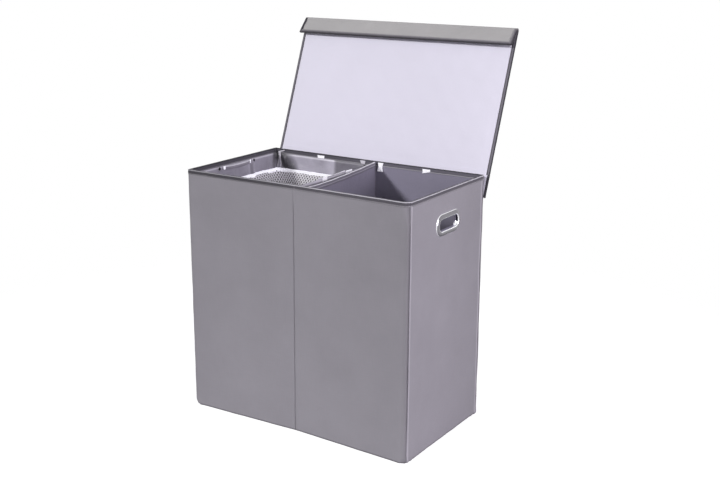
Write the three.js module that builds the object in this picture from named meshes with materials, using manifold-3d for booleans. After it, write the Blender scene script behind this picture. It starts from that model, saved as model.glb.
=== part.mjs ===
// A laundry hamper with two bins: fabric walls stiffened by boards, a folding lid with a front flap,
// loose base boards, and a lift-out bag in the left bin. Millimetres, +Z up. The front faces -Y, and the
// origin is the middle of the underside.
import * as THREE from 'three';
import { mergeVertices } from 'three/addons/utils/BufferGeometryUtils.js';
import Module from 'manifold-3d';

const wasm = await Module();
wasm.setup();

// The body
const BODY_WIDTH = 620;
const BODY_DEPTH = 348;
const BODY_HEIGHT = 610;
const CORNER_RADIUS = 12;
const FRONT_CREASE = 8; // how far the front's middle seam is drawn in
const BACK_CREASE = 3;
const FIT_GAP = 0.3; // between pieces that touch
const CUT_OVERRUN = 20; // how far every cutting block runs past the piece that it cuts
const CORNER_STEPS = 5;
const HALF_TURN = Math.PI; // in radians
const QUARTER_TURN = HALF_TURN / 2;

// The wall's layers, from the outside in
const COVER_THICKNESS = 0.8;
const BOARD_THICKNESS = 2.5;
const LINING_THICKNESS = 0.6;
const BASE_CLOTH_THICKNESS = 1;
const BOARD_FOLD_GAP = 3; // between the two boards of the front, and of the back
const DIVIDER_BOARD_THICKNESS = 4;

// The band sewn over the rim and over the divider's top edge
const BINDING_THICKNESS = 0.8;
const BINDING_DROP = 12;

// The handle: a snap-together pair of oval rings in a cut-out of each side wall
const HANDLE_WIDTH = 86;
const HANDLE_OPENING_HEIGHT = 28;
const HANDLE_CORNER_RADIUS = 12;
const HANDLE_BELOW_RIM = 81; // from the rim down to the opening's middle
const SLEEVE_THICKNESS = 1.8;
const RING_FLANGE = 12; // from the opening out to the ring's edge
const RING_PROUD = 4.5;
const INNER_FLANGE = 10;
const INNER_RING_PROUD = 2.3;

// White tabs that hang below the back rim inside: flat ones, and longer ones at the bins' corners
const TAB_WIDTH = 22;
const TAB_HEIGHT = 11;
const TAB_THICKNESS = 0.8;
const TAB_FROM_MIDDLE = 160;
const TAB_BELOW_RIM = 3;
const CORNER_TAB_WIDTH = 16;
const CORNER_TAB_HEIGHT = 22;
const CORNER_TAB_THICKNESS = 1.2;
const CORNER_TAB_FROM_CORNER = 24; // from the bin's corner to the tab's middle

// The loose base boards, and the bag with its cuff, tape and grips
const DROP_IN_CLEARANCE = 3.6; // round what lifts out of a bin
const BASE_BOARD_THICKNESS = 3.5;
const BAG_THICKNESS = 0.8;
const CUFF_BELOW_RIM = 11;
const CUFF_HEIGHT = 44;
const TAPE_HEIGHT = 10;
const TAPE_THICKNESS = 0.8;
const GRIP_SPAN = 112;
const GRIP_RISE = 8; // how far a grip's middle stands off the cuff
const GRIP_WIDTH = 10;
const GRIP_THICKNESS = 1.5;
const GRIP_BELOW_CUFF_TOP = 0.6;
const GRIP_STEPS = 14;
const STUD_RADIUS = 4;
const STUD_THICKNESS = 1.5;
const STUD_SIDES = 16;
const STUD_FROM_GRIP_END = 12;
const STUD_BELOW_CUFF_TOP = 6;
const STUD_FROM_CORNER = 12;

// The lid and its two flaps
const LID_OVERHANG = 2; // past the body at each side
const LID_REST_GAP = 0.4; // between the closed lid and the rim
const LID_CLEAR_OF_BACK = 0.9; // from the closed back flap to the rim's binding
const LID_CLEAR_OF_FRONT = 2.6; // from the closed front flap to the rim's binding
const PANEL_BOARD_THICKNESS = 3;
const PANEL_CLOTH_THICKNESS = 0.8;
const PANEL_BINDING_LEG = 8;
const PANEL_BINDING_THICKNESS = 1;
const FOLD_GAP = 0.4; // from a fold line to the panel on each side of it
const BACK_FLAP_FOOT_BELOW_RIM = 58;
const FRONT_FLAP_LENGTH = 46;
const FIXING_STRIP_HEIGHT = 15;
const MAGNET_RADIUS = 9;
const MAGNET_THICKNESS = 2.4;
const MAGNET_FROM_FOLD = 26;
const MAGNET_FROM_MIDDLE = 155;
const PLATE_RADIUS = 10;
const PLATE_THICKNESS = 1.5;
const DISC_SIDES = 24;
const LEAN_OPEN = THREE.MathUtils.degToRad(20.9); // the open lid and back flap, from upright
const FRONT_FLAP_OPEN = THREE.MathUtils.degToRad(20.5); // the open flap, from the lid's inner face

// Levels and offsets that follow from these
const BOARD_INSET = COVER_THICKNESS + FIT_GAP;
const LINING_INSET = BOARD_INSET + BOARD_THICKNESS + FIT_GAP;
const WALL_THICKNESS = LINING_INSET + LINING_THICKNESS;
const BINDING_INSET = WALL_THICKNESS + FIT_GAP; // the outer side of the binding's inner leg
const LAYERS_TOP = BODY_HEIGHT - BINDING_THICKNESS - FIT_GAP;
const INSIDE_FLOOR = BASE_CLOTH_THICKNESS + FIT_GAP;
const DIVIDER_LINING = DIVIDER_BOARD_THICKNESS / 2 + FIT_GAP; // from the middle to a divider lining
const DIVIDER_FACE = DIVIDER_LINING + LINING_THICKNESS;
const HANDLE_LEVEL = BODY_HEIGHT - HANDLE_BELOW_RIM;
const RING_HOLE = SLEEVE_THICKNESS + FIT_GAP; // how far the wall's cut-out is larger than the opening
const CUFF_TOP = BODY_HEIGHT - CUFF_BELOW_RIM;
const CUFF_BOTTOM = CUFF_TOP - CUFF_HEIGHT;
const BAG_INSET = WALL_THICKNESS + DROP_IN_CLEARANCE;
const BAG_DIVIDER_FACE = DIVIDER_FACE + DROP_IN_CLEARANCE;
const BASE_BOARD_TOP = INSIDE_FLOOR + BASE_BOARD_THICKNESS;
const GRIP_INSET = BAG_INSET + BAG_THICKNESS + FIT_GAP;
const BINDING_FACE = BODY_DEPTH / 2 + FIT_GAP + BINDING_THICKNESS;
const LID_WIDTH = BODY_WIDTH + 2 * LID_OVERHANG;
const BACK_FOLD_Y = BINDING_FACE + LID_CLEAR_OF_BACK;
const LID_DEPTH = BACK_FOLD_Y + BINDING_FACE + LID_CLEAR_OF_FRONT;
const BACK_FLAP_FOOT = BODY_HEIGHT - BACK_FLAP_FOOT_BELOW_RIM;
const BACK_FLAP_LENGTH = BACK_FLAP_FOOT_BELOW_RIM + LID_REST_GAP;
const PANEL_BOARD_INSET = PANEL_CLOTH_THICKNESS + FIT_GAP;
const PANEL_THICKNESS = PANEL_BOARD_THICKNESS + 2 * PANEL_BOARD_INSET;

const FRONT = { side: -1, crease: FRONT_CREASE };
const BACK = { side: 1, crease: BACK_CREASE };
const LEFT = -1;
const RIGHT = 1;

const finish = (color, roughness, metalness = 0) =>
  new THREE.MeshStandardMaterial({ color, roughness, metalness });
const GREY_CLOTH = { color: 0x8d8b91, roughness: 0.8 };
const DARK_BINDING = { color: 0x5e5c61, roughness: 0.75 };
const LINING_CLOTH = { color: 0x77738a, roughness: 0.85 };
const WHITE_CLOTH = { color: 0xe3e0ea, roughness: 0.85 };
const GREYBOARD = { color: 0x9b958b, roughness: 0.9 };
const CHROME = { color: 0xd9d9dc, roughness: 0.12, metalness: 1 };
const STEEL = { color: 0x9a9a9e, roughness: 0.4, metalness: 1 };
const BLACK_PLASTIC = { color: 0x1d1c20, roughness: 0.4 };

const piece = (name, geometry, look) => {
  const mesh = new THREE.Mesh(geometry, finish(look.color, look.roughness, look.metalness));
  mesh.name = name;
  return mesh;
};

// A closed geometry as a manifold solid, and a manifold solid as a geometry
const toSolid = (geometry) => {
  const bare = geometry.clone();
  bare.deleteAttribute('normal');
  bare.deleteAttribute('uv');
  const merged = mergeVertices(bare);
  return new wasm.Manifold(new wasm.Mesh({
    numProp: 3,
    vertProperties: new Float32Array(merged.attributes.position.array),
    triVerts: new Uint32Array(merged.index.array),
  }));
};
const toGeometry = (solid) => {
  const mesh = solid.getMesh();
  const geometry = new THREE.BufferGeometry();
  geometry.setAttribute('position', new THREE.BufferAttribute(mesh.vertProperties, mesh.numProp));
  geometry.setIndex(new THREE.BufferAttribute(mesh.triVerts, 1));
  geometry.computeVertexNormals();
  return geometry;
};

const block = (x0, x1, y0, y1, z0, z1) => {
  const box = new THREE.BoxGeometry(x1 - x0, y1 - y0, z1 - z0);
  return box.translate((x0 + x1) / 2, (y0 + y1) / 2, (z0 + z1) / 2);
};

// An outline in plan, raised from one level to another; a hole is an outline too
const raise = (outline, z0, z1, hole) => {
  const shape = new THREE.Shape(
    THREE.ShapeUtils.isClockWise(outline) ? [...outline].reverse() : outline,
  );
  if (hole) shape.holes.push(new THREE.Path(hole));
  const raised = new THREE.ExtrudeGeometry(shape, { depth: z1 - z0, bevelEnabled: false });
  return raised.translate(0, 0, z0);
};

// Where a wall's face lies in Y, `inset` below the outside: straight to the crease at the middle
const wallY = (wall, inset, x) => {
  const flatHalf = BODY_WIDTH / 2 - CORNER_RADIUS;
  const towardsMiddle = Math.max(0, 1 - Math.abs(x) / flatHalf);
  return wall.side * (BODY_DEPTH / 2 - inset - wall.crease * towardsMiddle);
};

// A body corner's quarter circle, from the side wall's end of it to the front or back wall's end
const cornerArc = (sideX, wall, inset) => {
  const centre = new THREE.Vector2(
    sideX * (BODY_WIDTH / 2 - CORNER_RADIUS),
    wall.side * (BODY_DEPTH / 2 - CORNER_RADIUS),
  );
  const radius = CORNER_RADIUS - inset;
  return Array.from({ length: CORNER_STEPS + 1 }, (_, step) => {
    const turn = (QUARTER_TURN * step) / CORNER_STEPS;
    return new THREE.Vector2(
      centre.x + sideX * radius * Math.cos(turn),
      centre.y + wall.side * radius * Math.sin(turn),
    );
  });
};

// The front or back wall's line from the left corner's start to the right corner's end
const wrappedWallLine = (wall, inset) => [
  ...cornerArc(LEFT, wall, inset),
  new THREE.Vector2(0, wallY(wall, inset, 0)),
  ...cornerArc(RIGHT, wall, inset).reverse(),
];
const bodyLoop = (inset) => [
  ...wrappedWallLine(FRONT, inset),
  ...wrappedWallLine(BACK, inset).reverse(),
];

// A bin's line: round at the body's corners, square where it meets the divider
const binLoop = (sideX, inset, dividerFace) => {
  const atDivider = sideX * dividerFace;
  return [
    new THREE.Vector2(atDivider, wallY(FRONT, inset, atDivider)),
    ...cornerArc(sideX, FRONT, inset).reverse(),
    ...cornerArc(sideX, BACK, inset),
    new THREE.Vector2(atDivider, wallY(BACK, inset, atDivider)),
  ];
};

// The handle opening's outline, grown by a margin, in the side wall's own plane (Y, Z)
const handleOutline = (margin) => {
  const halfWidth = HANDLE_WIDTH / 2 + margin;
  const halfHeight = HANDLE_OPENING_HEIGHT / 2 + margin;
  const radius = HANDLE_CORNER_RADIUS + margin;
  const corners = [[1, 1], [-1, 1], [-1, -1], [1, -1]];
  return corners.flatMap(([across, up], quarter) =>
    Array.from({ length: CORNER_STEPS + 1 }, (_, step) => {
      const turn = QUARTER_TURN * (quarter + step / CORNER_STEPS);
      return new THREE.Vector2(
        across * (halfWidth - radius) + radius * Math.cos(turn),
        up * (halfHeight - radius) + radius * Math.sin(turn),
      );
    }));
};

// The block that cuts a side wall's layer for the rings' sleeve
const handleCutter = (sideX) => {
  const cutter = raise(handleOutline(RING_HOLE), -CUT_OVERRUN, CUT_OVERRUN);
  cutter.rotateX(QUARTER_TURN).rotateZ(QUARTER_TURN);
  return cutter.translate(sideX * BODY_WIDTH / 2, 0, HANDLE_LEVEL);
};
const cutForHandle = (geometry, sideX) =>
  toGeometry(toSolid(geometry).subtract(toSolid(handleCutter(sideX))));

// The fabric covers: front and back wrap the corners, the sides fit between them
const wrappedCover = (name, wall) => {
  const outline = [
    ...wrappedWallLine(wall, 0),
    ...wrappedWallLine(wall, COVER_THICKNESS).reverse(),
  ];
  return piece(name, raise(outline, 0, LAYERS_TOP), GREY_CLOTH);
};
const sideLayer = (name, sideX, inset, thickness, bottom, endGap, look) => {
  const halfDepth = BODY_DEPTH / 2 - CORNER_RADIUS - endGap;
  const outer = sideX * (BODY_WIDTH / 2 - inset);
  const inner = sideX * (BODY_WIDTH / 2 - inset - thickness);
  const layer = block(
    Math.min(outer, inner), Math.max(outer, inner), -halfDepth, halfDepth, bottom, LAYERS_TOP,
  );
  return piece(name, cutForHandle(layer, sideX), look);
};

// A front or back board: a straight plate from the corner to the crease
const wallBoard = (wall, sideX) => {
  const ends = [sideX * BOARD_FOLD_GAP / 2, sideX * (BODY_WIDTH / 2 - CORNER_RADIUS)];
  const near = ends.map((x) => new THREE.Vector2(x, wallY(wall, BOARD_INSET, x)));
  const far = ends.map((x) => new THREE.Vector2(x, wallY(wall, BOARD_INSET + BOARD_THICKNESS, x)));
  return raise([...near, ...far.reverse()], INSIDE_FLOOR, LAYERS_TOP);
};

// The steel plate that a flap magnet pulls to, and the pocket for it in the front board
const plateLevel = BODY_HEIGHT + LID_REST_GAP - MAGNET_FROM_FOLD;
const plateDisc = (sideX, radius, thickness) => {
  const x = sideX * MAGNET_FROM_MIDDLE;
  const disc = new THREE.CylinderGeometry(radius, radius, thickness, DISC_SIDES);
  const slope = -sideX * Math.atan(FRONT_CREASE / (BODY_WIDTH / 2 - CORNER_RADIUS));
  disc.rotateZ(slope);
  return disc.translate(x, wallY(FRONT, BOARD_INSET + BOARD_THICKNESS / 2, x), plateLevel);
};
const frontBoard = (name, sideX) => {
  const pocket = plateDisc(sideX, PLATE_RADIUS + FIT_GAP, CUT_OVERRUN);
  const board = toSolid(wallBoard(FRONT, sideX)).subtract(toSolid(pocket));
  return piece(name, toGeometry(board), GREYBOARD);
};
const backBoard = (name, sideX) => piece(name, wallBoard(BACK, sideX), GREYBOARD);
const steelPlate = (name, sideX) => piece(name, plateDisc(sideX, PLATE_RADIUS, PLATE_THICKNESS), STEEL);

const dividerBoard = () => {
  const half = DIVIDER_BOARD_THICKNESS / 2;
  const outline = [[LEFT, FRONT], [RIGHT, FRONT], [RIGHT, BACK], [LEFT, BACK]].map(([sideX, wall]) =>
    new THREE.Vector2(sideX * half, wallY(wall, LINING_INSET, sideX * half)));
  return piece('divider_board', raise(outline, INSIDE_FLOOR, LAYERS_TOP), GREYBOARD);
};

const baseCloth = () =>
  piece('base_cloth', raise(bodyLoop(BOARD_INSET), 0, BASE_CLOTH_THICKNESS), GREY_CLOTH);

const binLining = (name, sideX) => {
  const tube = raise(
    binLoop(sideX, LINING_INSET, DIVIDER_LINING), INSIDE_FLOOR, LAYERS_TOP,
    binLoop(sideX, WALL_THICKNESS, DIVIDER_FACE),
  );
  return piece(name, cutForHandle(tube, sideX), LINING_CLOTH);
};

// The rim's binding is folded over the wall; its inner leg is let out where the divider meets the wall
const rimBinding = () => {
  const bottom = BODY_HEIGHT - BINDING_DROP;
  const innerLeg = BINDING_INSET + BINDING_THICKNESS;
  const band = raise(bodyLoop(-FIT_GAP - BINDING_THICKNESS), bottom, BODY_HEIGHT, bodyLoop(innerLeg));
  const fold = raise(
    bodyLoop(-FIT_GAP), bottom - CUT_OVERRUN, BODY_HEIGHT - BINDING_THICKNESS, bodyLoop(BINDING_INSET),
  );
  const notchHalf = DIVIDER_FACE + FIT_GAP;
  const notch = block(
    -notchHalf, notchHalf, wallY(FRONT, LINING_INSET, 0), wallY(BACK, LINING_INSET, 0),
    bottom - CUT_OVERRUN, BODY_HEIGHT - BINDING_THICKNESS,
  );
  const sewn = toSolid(band).subtract(toSolid(fold)).subtract(toSolid(notch));
  return piece('rim_binding', toGeometry(sewn), DARK_BINDING);
};

const dividerBinding = () => {
  const inner = DIVIDER_FACE + FIT_GAP;
  const outer = inner + BINDING_THICKNESS;
  const bottom = BODY_HEIGHT - BINDING_DROP;
  const endInset = BINDING_INSET + BINDING_THICKNESS + FIT_GAP;
  const front = wallY(FRONT, endInset, 0);
  const back = wallY(BACK, endInset, 0);
  const band = toSolid(block(-outer, outer, front, back, bottom, BODY_HEIGHT));
  const fold = toSolid(block(
    -inner, inner, front - CUT_OVERRUN, back + CUT_OVERRUN,
    bottom - CUT_OVERRUN, BODY_HEIGHT - BINDING_THICKNESS,
  ));
  return piece('divider_binding', toGeometry(band.subtract(fold)), DARK_BINDING);
};

// A ring swept round the handle opening. Each profile point is [margin from the opening, height above
// the wall's outer face]; the first and the last are joined.
const handleRing = (name, sideX, profile) => {
  const loops = profile.map(([margin, height]) =>
    handleOutline(margin).map((point) => [
      sideX * (BODY_WIDTH / 2 + height), point.x, HANDLE_LEVEL + point.y,
    ]));
  const around = loops[0].length;
  const index = [];
  loops.forEach((loop, row) => {
    const next = (row + 1) % loops.length;
    loop.forEach((_, step) => {
      const after = (step + 1) % around;
      const corners = [
        row * around + step, next * around + step, next * around + after, row * around + after,
      ];
      if (sideX === LEFT) corners.reverse();
      index.push(corners[0], corners[1], corners[2], corners[0], corners[2], corners[3]);
    });
  });
  const geometry = new THREE.BufferGeometry();
  geometry.setAttribute('position', new THREE.Float32BufferAttribute(loops.flat(2), 3));
  geometry.setIndex(index);
  geometry.computeVertexNormals();
  return piece(name, geometry, CHROME);
};
const outerRing = (name, sideX) => {
  const sleeveEnd = -WALL_THICKNESS - FIT_GAP - INNER_RING_PROUD;
  const crown_share = [[0, 0.45], [0.08, 0.8], [0.25, 1], [0.55, 0.97], [0.82, 0.7], [0.96, 0.35]];
  return handleRing(name, sideX, [
    [0, sleeveEnd],
    ...crown_share.map(([across, up]) => [RING_FLANGE * across, RING_PROUD * up]),
    [RING_FLANGE, FIT_GAP],
    [SLEEVE_THICKNESS, FIT_GAP],
    [SLEEVE_THICKNESS, sleeveEnd],
  ]);
};
const innerRing = (name, sideX) => {
  const seat = -WALL_THICKNESS - FIT_GAP;
  const bore = SLEEVE_THICKNESS + FIT_GAP;
  const crown_share = [[0.88, 0.6], [0.6, 0.95], [0.3, 1], [0.08, 0.8]];
  return handleRing(name, sideX, [
    [bore, seat],
    [INNER_FLANGE, seat],
    ...crown_share.map(([across, down]) =>
      [bore + (INNER_FLANGE - bore) * across, seat - INNER_RING_PROUD * down]),
    [bore, seat - INNER_RING_PROUD / 2],
  ]);
};

// What is sewn under the back rim lies over the binding's inner leg
const HANGING_INSET = BINDING_INSET + BINDING_THICKNESS + FIT_GAP;
const hangingTab = (name, x, width, height, thickness) => {
  const towardsMiddle = x - Math.sign(x) * width / 2;
  const outer = wallY(BACK, HANGING_INSET, towardsMiddle);
  const top = BODY_HEIGHT - TAB_BELOW_RIM;
  const tab = block(x - width / 2, x + width / 2, outer - thickness, outer, top - height, top);
  return piece(name, tab, WHITE_CLOTH);
};
const wallTab = (name, sideX) =>
  hangingTab(name, sideX * TAB_FROM_MIDDLE, TAB_WIDTH, TAB_HEIGHT, TAB_THICKNESS);
const cornerTab = (name, x) =>
  hangingTab(name, x, CORNER_TAB_WIDTH, CORNER_TAB_HEIGHT, CORNER_TAB_THICKNESS);

const baseBoard = (name, sideX) => piece(name, raise(
  binLoop(sideX, BAG_INSET, BAG_DIVIDER_FACE), INSIDE_FLOOR, BASE_BOARD_TOP,
), GREY_CLOTH);

// The bag: a cuff, a tape over the seam below it, and a body with a closed bottom
const bagLoop = (depth) => binLoop(LEFT, BAG_INSET + depth, BAG_DIVIDER_FACE + depth);
const bagCuff = () => piece('bag_cuff', raise(
  bagLoop(0), CUFF_BOTTOM, CUFF_TOP, bagLoop(BAG_THICKNESS),
), GREY_CLOTH);
const bagTape = () => {
  const depth = BAG_THICKNESS + FIT_GAP;
  const middle = CUFF_BOTTOM - FIT_GAP / 2;
  return piece('bag_tape', raise(
    bagLoop(depth), middle - TAPE_HEIGHT / 2, middle + TAPE_HEIGHT / 2, bagLoop(depth + TAPE_THICKNESS),
  ), WHITE_CLOTH);
};
const bagBody = () => {
  const bottom = BASE_BOARD_TOP + FIT_GAP;
  const top = CUFF_BOTTOM - FIT_GAP;
  const full = toSolid(raise(bagLoop(0), bottom, top));
  const inside = toSolid(raise(bagLoop(BAG_THICKNESS), bottom + BAG_THICKNESS, top + CUT_OVERRUN));
  return piece('bag_body', toGeometry(full.subtract(inside)), GREY_CLOTH);
};

// A grip: a webbing band bowed off the cuff. `face` is the cuff's inner face in X, `inward` the way
// into the bin.
const gripLevel = CUFF_TOP - GRIP_BELOW_CUFF_TOP;
const GRIP_SIDES = {
  wall_grip: { face: LEFT * (BODY_WIDTH / 2 - GRIP_INSET), inward: 1 },
  divider_grip: { face: LEFT * (BAG_DIVIDER_FACE + BAG_THICKNESS + FIT_GAP), inward: -1 },
};
const grip = (name) => {
  const { face, inward } = GRIP_SIDES[name];
  const half = GRIP_SPAN / 2;
  const bow = (offset) => Array.from({ length: GRIP_STEPS + 1 }, (_, step) => {
    const along = -1 + (2 * step) / GRIP_STEPS;
    const off = GRIP_RISE * (1 - along * along) + offset;
    return new THREE.Vector2(face + inward * off, half * along);
  });
  const outline = [...bow(0), ...bow(GRIP_THICKNESS).reverse()];
  return piece(name, raise(outline, gripLevel - GRIP_WIDTH, gripLevel), GREY_CLOTH);
};

// Press studs lie on the cuff's inner face: beside the grips' ends, and at its back corners
const stud = () => new THREE.CylinderGeometry(STUD_RADIUS, STUD_RADIUS, STUD_THICKNESS, STUD_SIDES);
const studLevel = CUFF_TOP - STUD_BELOW_CUFF_TOP;
const gripStud = (name, gripName, end) => {
  const { face, inward } = GRIP_SIDES[gripName];
  const across = stud().rotateZ(QUARTER_TURN);
  const y = end * (GRIP_SPAN / 2 + STUD_FROM_GRIP_END);
  return piece(name, across.translate(face + inward * STUD_THICKNESS / 2, y, studLevel), BLACK_PLASTIC);
};
const cornerStud = (name, cornerX, inward) => {
  const x = cornerX + inward * STUD_FROM_CORNER;
  const y = wallY(BACK, GRIP_INSET + STUD_THICKNESS / 2, Math.abs(x) - STUD_RADIUS);
  return piece(name, stud().translate(x, y, studLevel), BLACK_PLASTIC);
};

// The lid and flaps are flat panels. Each is drawn standing: Z runs from its fold line, its inner face
// lies at Y 0, and its outer face at Y PANEL_THICKNESS.
const panelLayer = (name, halfWidth, z0, z1, y0, thickness, look) =>
  piece(name, block(-halfWidth, halfWidth, y0, y0 + thickness, z0, z1), look);
const OUTER_CLOTH_Y = PANEL_THICKNESS - PANEL_CLOTH_THICKNESS;
const HALF_LID = LID_WIDTH / 2;
const CLOTH_HALF = HALF_LID - PANEL_BINDING_LEG - FIT_GAP;
const SLOT_HALF = HALF_LID - PANEL_BINDING_THICKNESS;
const PANEL_BOARD_HALF = SLOT_HALF - FIT_GAP;

// An edge binding: a channel whose two legs lie flush beside the cloths
const sideBinding = (name, sideX, z0, z1) => {
  const x0 = sideX * (HALF_LID - PANEL_BINDING_LEG);
  const x1 = sideX * HALF_LID;
  const slotEnd = sideX * SLOT_HALF;
  const slotStart = x0 - sideX * CUT_OVERRUN;
  const channel = toSolid(block(Math.min(x0, x1), Math.max(x0, x1), 0, PANEL_THICKNESS, z0, z1));
  const slot = toSolid(block(
    Math.min(slotStart, slotEnd), Math.max(slotStart, slotEnd),
    PANEL_CLOTH_THICKNESS, OUTER_CLOTH_Y, z0 - CUT_OVERRUN, z1 + CUT_OVERRUN,
  ));
  return piece(name, toGeometry(channel.subtract(slot)), DARK_BINDING);
};

// The front flap's binding runs round its two ends and its free edge
const flapBinding = () => {
  const free = FRONT_FLAP_LENGTH;
  const windowHalf = HALF_LID - PANEL_BINDING_LEG;
  const band = toSolid(block(-HALF_LID, HALF_LID, 0, PANEL_THICKNESS, FOLD_GAP, free));
  const slot = toSolid(block(
    -SLOT_HALF, SLOT_HALF, PANEL_CLOTH_THICKNESS, OUTER_CLOTH_Y,
    FOLD_GAP - CUT_OVERRUN, free - PANEL_BINDING_THICKNESS,
  ));
  const window = toSolid(block(
    -windowHalf, windowHalf, -CUT_OVERRUN, PANEL_THICKNESS + CUT_OVERRUN,
    FOLD_GAP - CUT_OVERRUN, free - PANEL_BINDING_LEG,
  ));
  return piece('front_flap_binding', toGeometry(band.subtract(slot).subtract(window)), DARK_BINDING);
};

const magnetDisc = (sideX, radius, thickness) => {
  const disc = new THREE.CylinderGeometry(radius, radius, thickness, DISC_SIDES);
  return disc.translate(sideX * MAGNET_FROM_MIDDLE, PANEL_THICKNESS / 2, MAGNET_FROM_FOLD);
};
const magnet = (name, sideX) => piece(name, magnetDisc(sideX, MAGNET_RADIUS, MAGNET_THICKNESS), STEEL);

const frontFlap = () => {
  const flap = new THREE.Group();
  const clothEnd = FRONT_FLAP_LENGTH - PANEL_BINDING_LEG - FIT_GAP;
  const boardEnd = FRONT_FLAP_LENGTH - PANEL_BINDING_THICKNESS - FIT_GAP;
  const board = [LEFT, RIGHT].reduce(
    (solid, sideX) => solid.subtract(toSolid(magnetDisc(sideX, MAGNET_RADIUS + FIT_GAP, CUT_OVERRUN))),
    toSolid(block(
      -PANEL_BOARD_HALF, PANEL_BOARD_HALF, PANEL_BOARD_INSET,
      PANEL_BOARD_INSET + PANEL_BOARD_THICKNESS, FOLD_GAP, boardEnd,
    )),
  );
  flap.add(
    piece('front_flap_board', toGeometry(board), GREYBOARD),
    panelLayer('front_flap_lining', CLOTH_HALF, FOLD_GAP, clothEnd, 0, PANEL_CLOTH_THICKNESS, GREY_CLOTH),
    panelLayer(
      'front_flap_cover', CLOTH_HALF, FOLD_GAP, clothEnd, OUTER_CLOTH_Y, PANEL_CLOTH_THICKNESS, GREY_CLOTH,
    ),
    flapBinding(),
    magnet('left_magnet', LEFT),
    magnet('right_magnet', RIGHT),
  );
  flap.position.z = LID_DEPTH;
  flap.rotation.x = HALF_TURN - FRONT_FLAP_OPEN;
  return flap;
};

const lid = () => {
  const panel = new THREE.Group();
  const end = LID_DEPTH - FOLD_GAP;
  panel.add(
    panelLayer(
      'lid_board', PANEL_BOARD_HALF, FOLD_GAP, end, PANEL_BOARD_INSET, PANEL_BOARD_THICKNESS, GREYBOARD,
    ),
    panelLayer('lid_lining', CLOTH_HALF, FOLD_GAP, end, 0, PANEL_CLOTH_THICKNESS, WHITE_CLOTH),
    panelLayer('lid_cover', CLOTH_HALF, FOLD_GAP, end, OUTER_CLOTH_Y, PANEL_CLOTH_THICKNESS, GREY_CLOTH),
    sideBinding('lid_left_binding', LEFT, FOLD_GAP, end),
    sideBinding('lid_right_binding', RIGHT, FOLD_GAP, end),
    frontFlap(),
  );
  panel.position.z = BACK_FLAP_LENGTH;
  return panel;
};

const backFlap = () => {
  const flap = new THREE.Group();
  const end = BACK_FLAP_LENGTH - FOLD_GAP;
  flap.add(
    panelLayer(
      'back_flap_board', PANEL_BOARD_HALF, FOLD_GAP, end, PANEL_BOARD_INSET, PANEL_BOARD_THICKNESS, GREYBOARD,
    ),
    panelLayer('back_flap_lining', CLOTH_HALF, FOLD_GAP, end, 0, PANEL_CLOTH_THICKNESS, GREY_CLOTH),
    panelLayer(
      'back_flap_cover', CLOTH_HALF, FOLD_GAP, end, OUTER_CLOTH_Y, PANEL_CLOTH_THICKNESS, GREY_CLOTH,
    ),
    sideBinding('back_flap_left_binding', LEFT, FOLD_GAP, end),
    sideBinding('back_flap_right_binding', RIGHT, FOLD_GAP, end),
    lid(),
  );
  flap.position.set(0, BACK_FOLD_Y, BACK_FLAP_FOOT);
  flap.rotation.x = -LEAN_OPEN;
  return flap;
};

// The strip where the back flap's foot is sewn to the back cover
const fixingStrip = () => {
  const half = HALF_LID - PANEL_BINDING_LEG - CORNER_RADIUS;
  const outline = [
    ...[-half, 0, half].map((x) => new THREE.Vector2(x, wallY(BACK, -FIT_GAP, x))),
    new THREE.Vector2(half, BACK_FOLD_Y),
    new THREE.Vector2(-half, BACK_FOLD_Y),
  ];
  const top = BACK_FLAP_FOOT - FIT_GAP;
  return piece('back_flap_fixing_strip', raise(outline, top - FIXING_STRIP_HEIGHT, top), GREY_CLOTH);
};

const hamper = new THREE.Group();
hamper.add(
  baseCloth(),
  wrappedCover('front_cover', FRONT),
  wrappedCover('back_cover', BACK),
  dividerBoard(),
  rimBinding(),
  dividerBinding(),
  fixingStrip(),
);
[['left', LEFT], ['right', RIGHT]].forEach(([word, sideX]) => {
  const divider = sideX * DIVIDER_FACE;
  hamper.add(
    sideLayer(`${word}_cover`, sideX, 0, COVER_THICKNESS, 0, FIT_GAP, GREY_CLOTH),
    sideLayer(
      `${word}_side_board`, sideX, BOARD_INSET, BOARD_THICKNESS, INSIDE_FLOOR, 0, GREYBOARD,
    ),
    frontBoard(`front_${word}_board`, sideX),
    backBoard(`back_${word}_board`, sideX),
    steelPlate(`${word}_steel_plate`, sideX),
    binLining(`${word}_bin_lining`, sideX),
    outerRing(`${word}_handle_outer_ring`, sideX),
    innerRing(`${word}_handle_inner_ring`, sideX),
    wallTab(`${word}_bin_tab`, sideX),
    cornerTab(`${word}_bin_divider_corner_tab`, divider + sideX * CORNER_TAB_FROM_CORNER),
    baseBoard(`${word}_base_board`, sideX),
  );
});
const leftWall = LEFT * (BODY_WIDTH / 2 - WALL_THICKNESS);
hamper.add(cornerTab('left_bin_wall_corner_tab', leftWall + CORNER_TAB_FROM_CORNER));
hamper.add(bagBody(), bagCuff(), bagTape());
Object.keys(GRIP_SIDES).forEach((name) => {
  hamper.add(grip(name), gripStud(`${name}_front_stud`, name, -1), gripStud(`${name}_back_stud`, name, 1));
});
hamper.add(
  cornerStud('bag_wall_corner_stud', LEFT * (BODY_WIDTH / 2 - GRIP_INSET), RIGHT),
  cornerStud('bag_divider_corner_stud', LEFT * (BAG_DIVIDER_FACE + BAG_THICKNESS), LEFT),
  backFlap(),
);

export default hamper;
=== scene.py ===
import bpy
import numpy as np
from mathutils import Matrix, Vector


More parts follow.
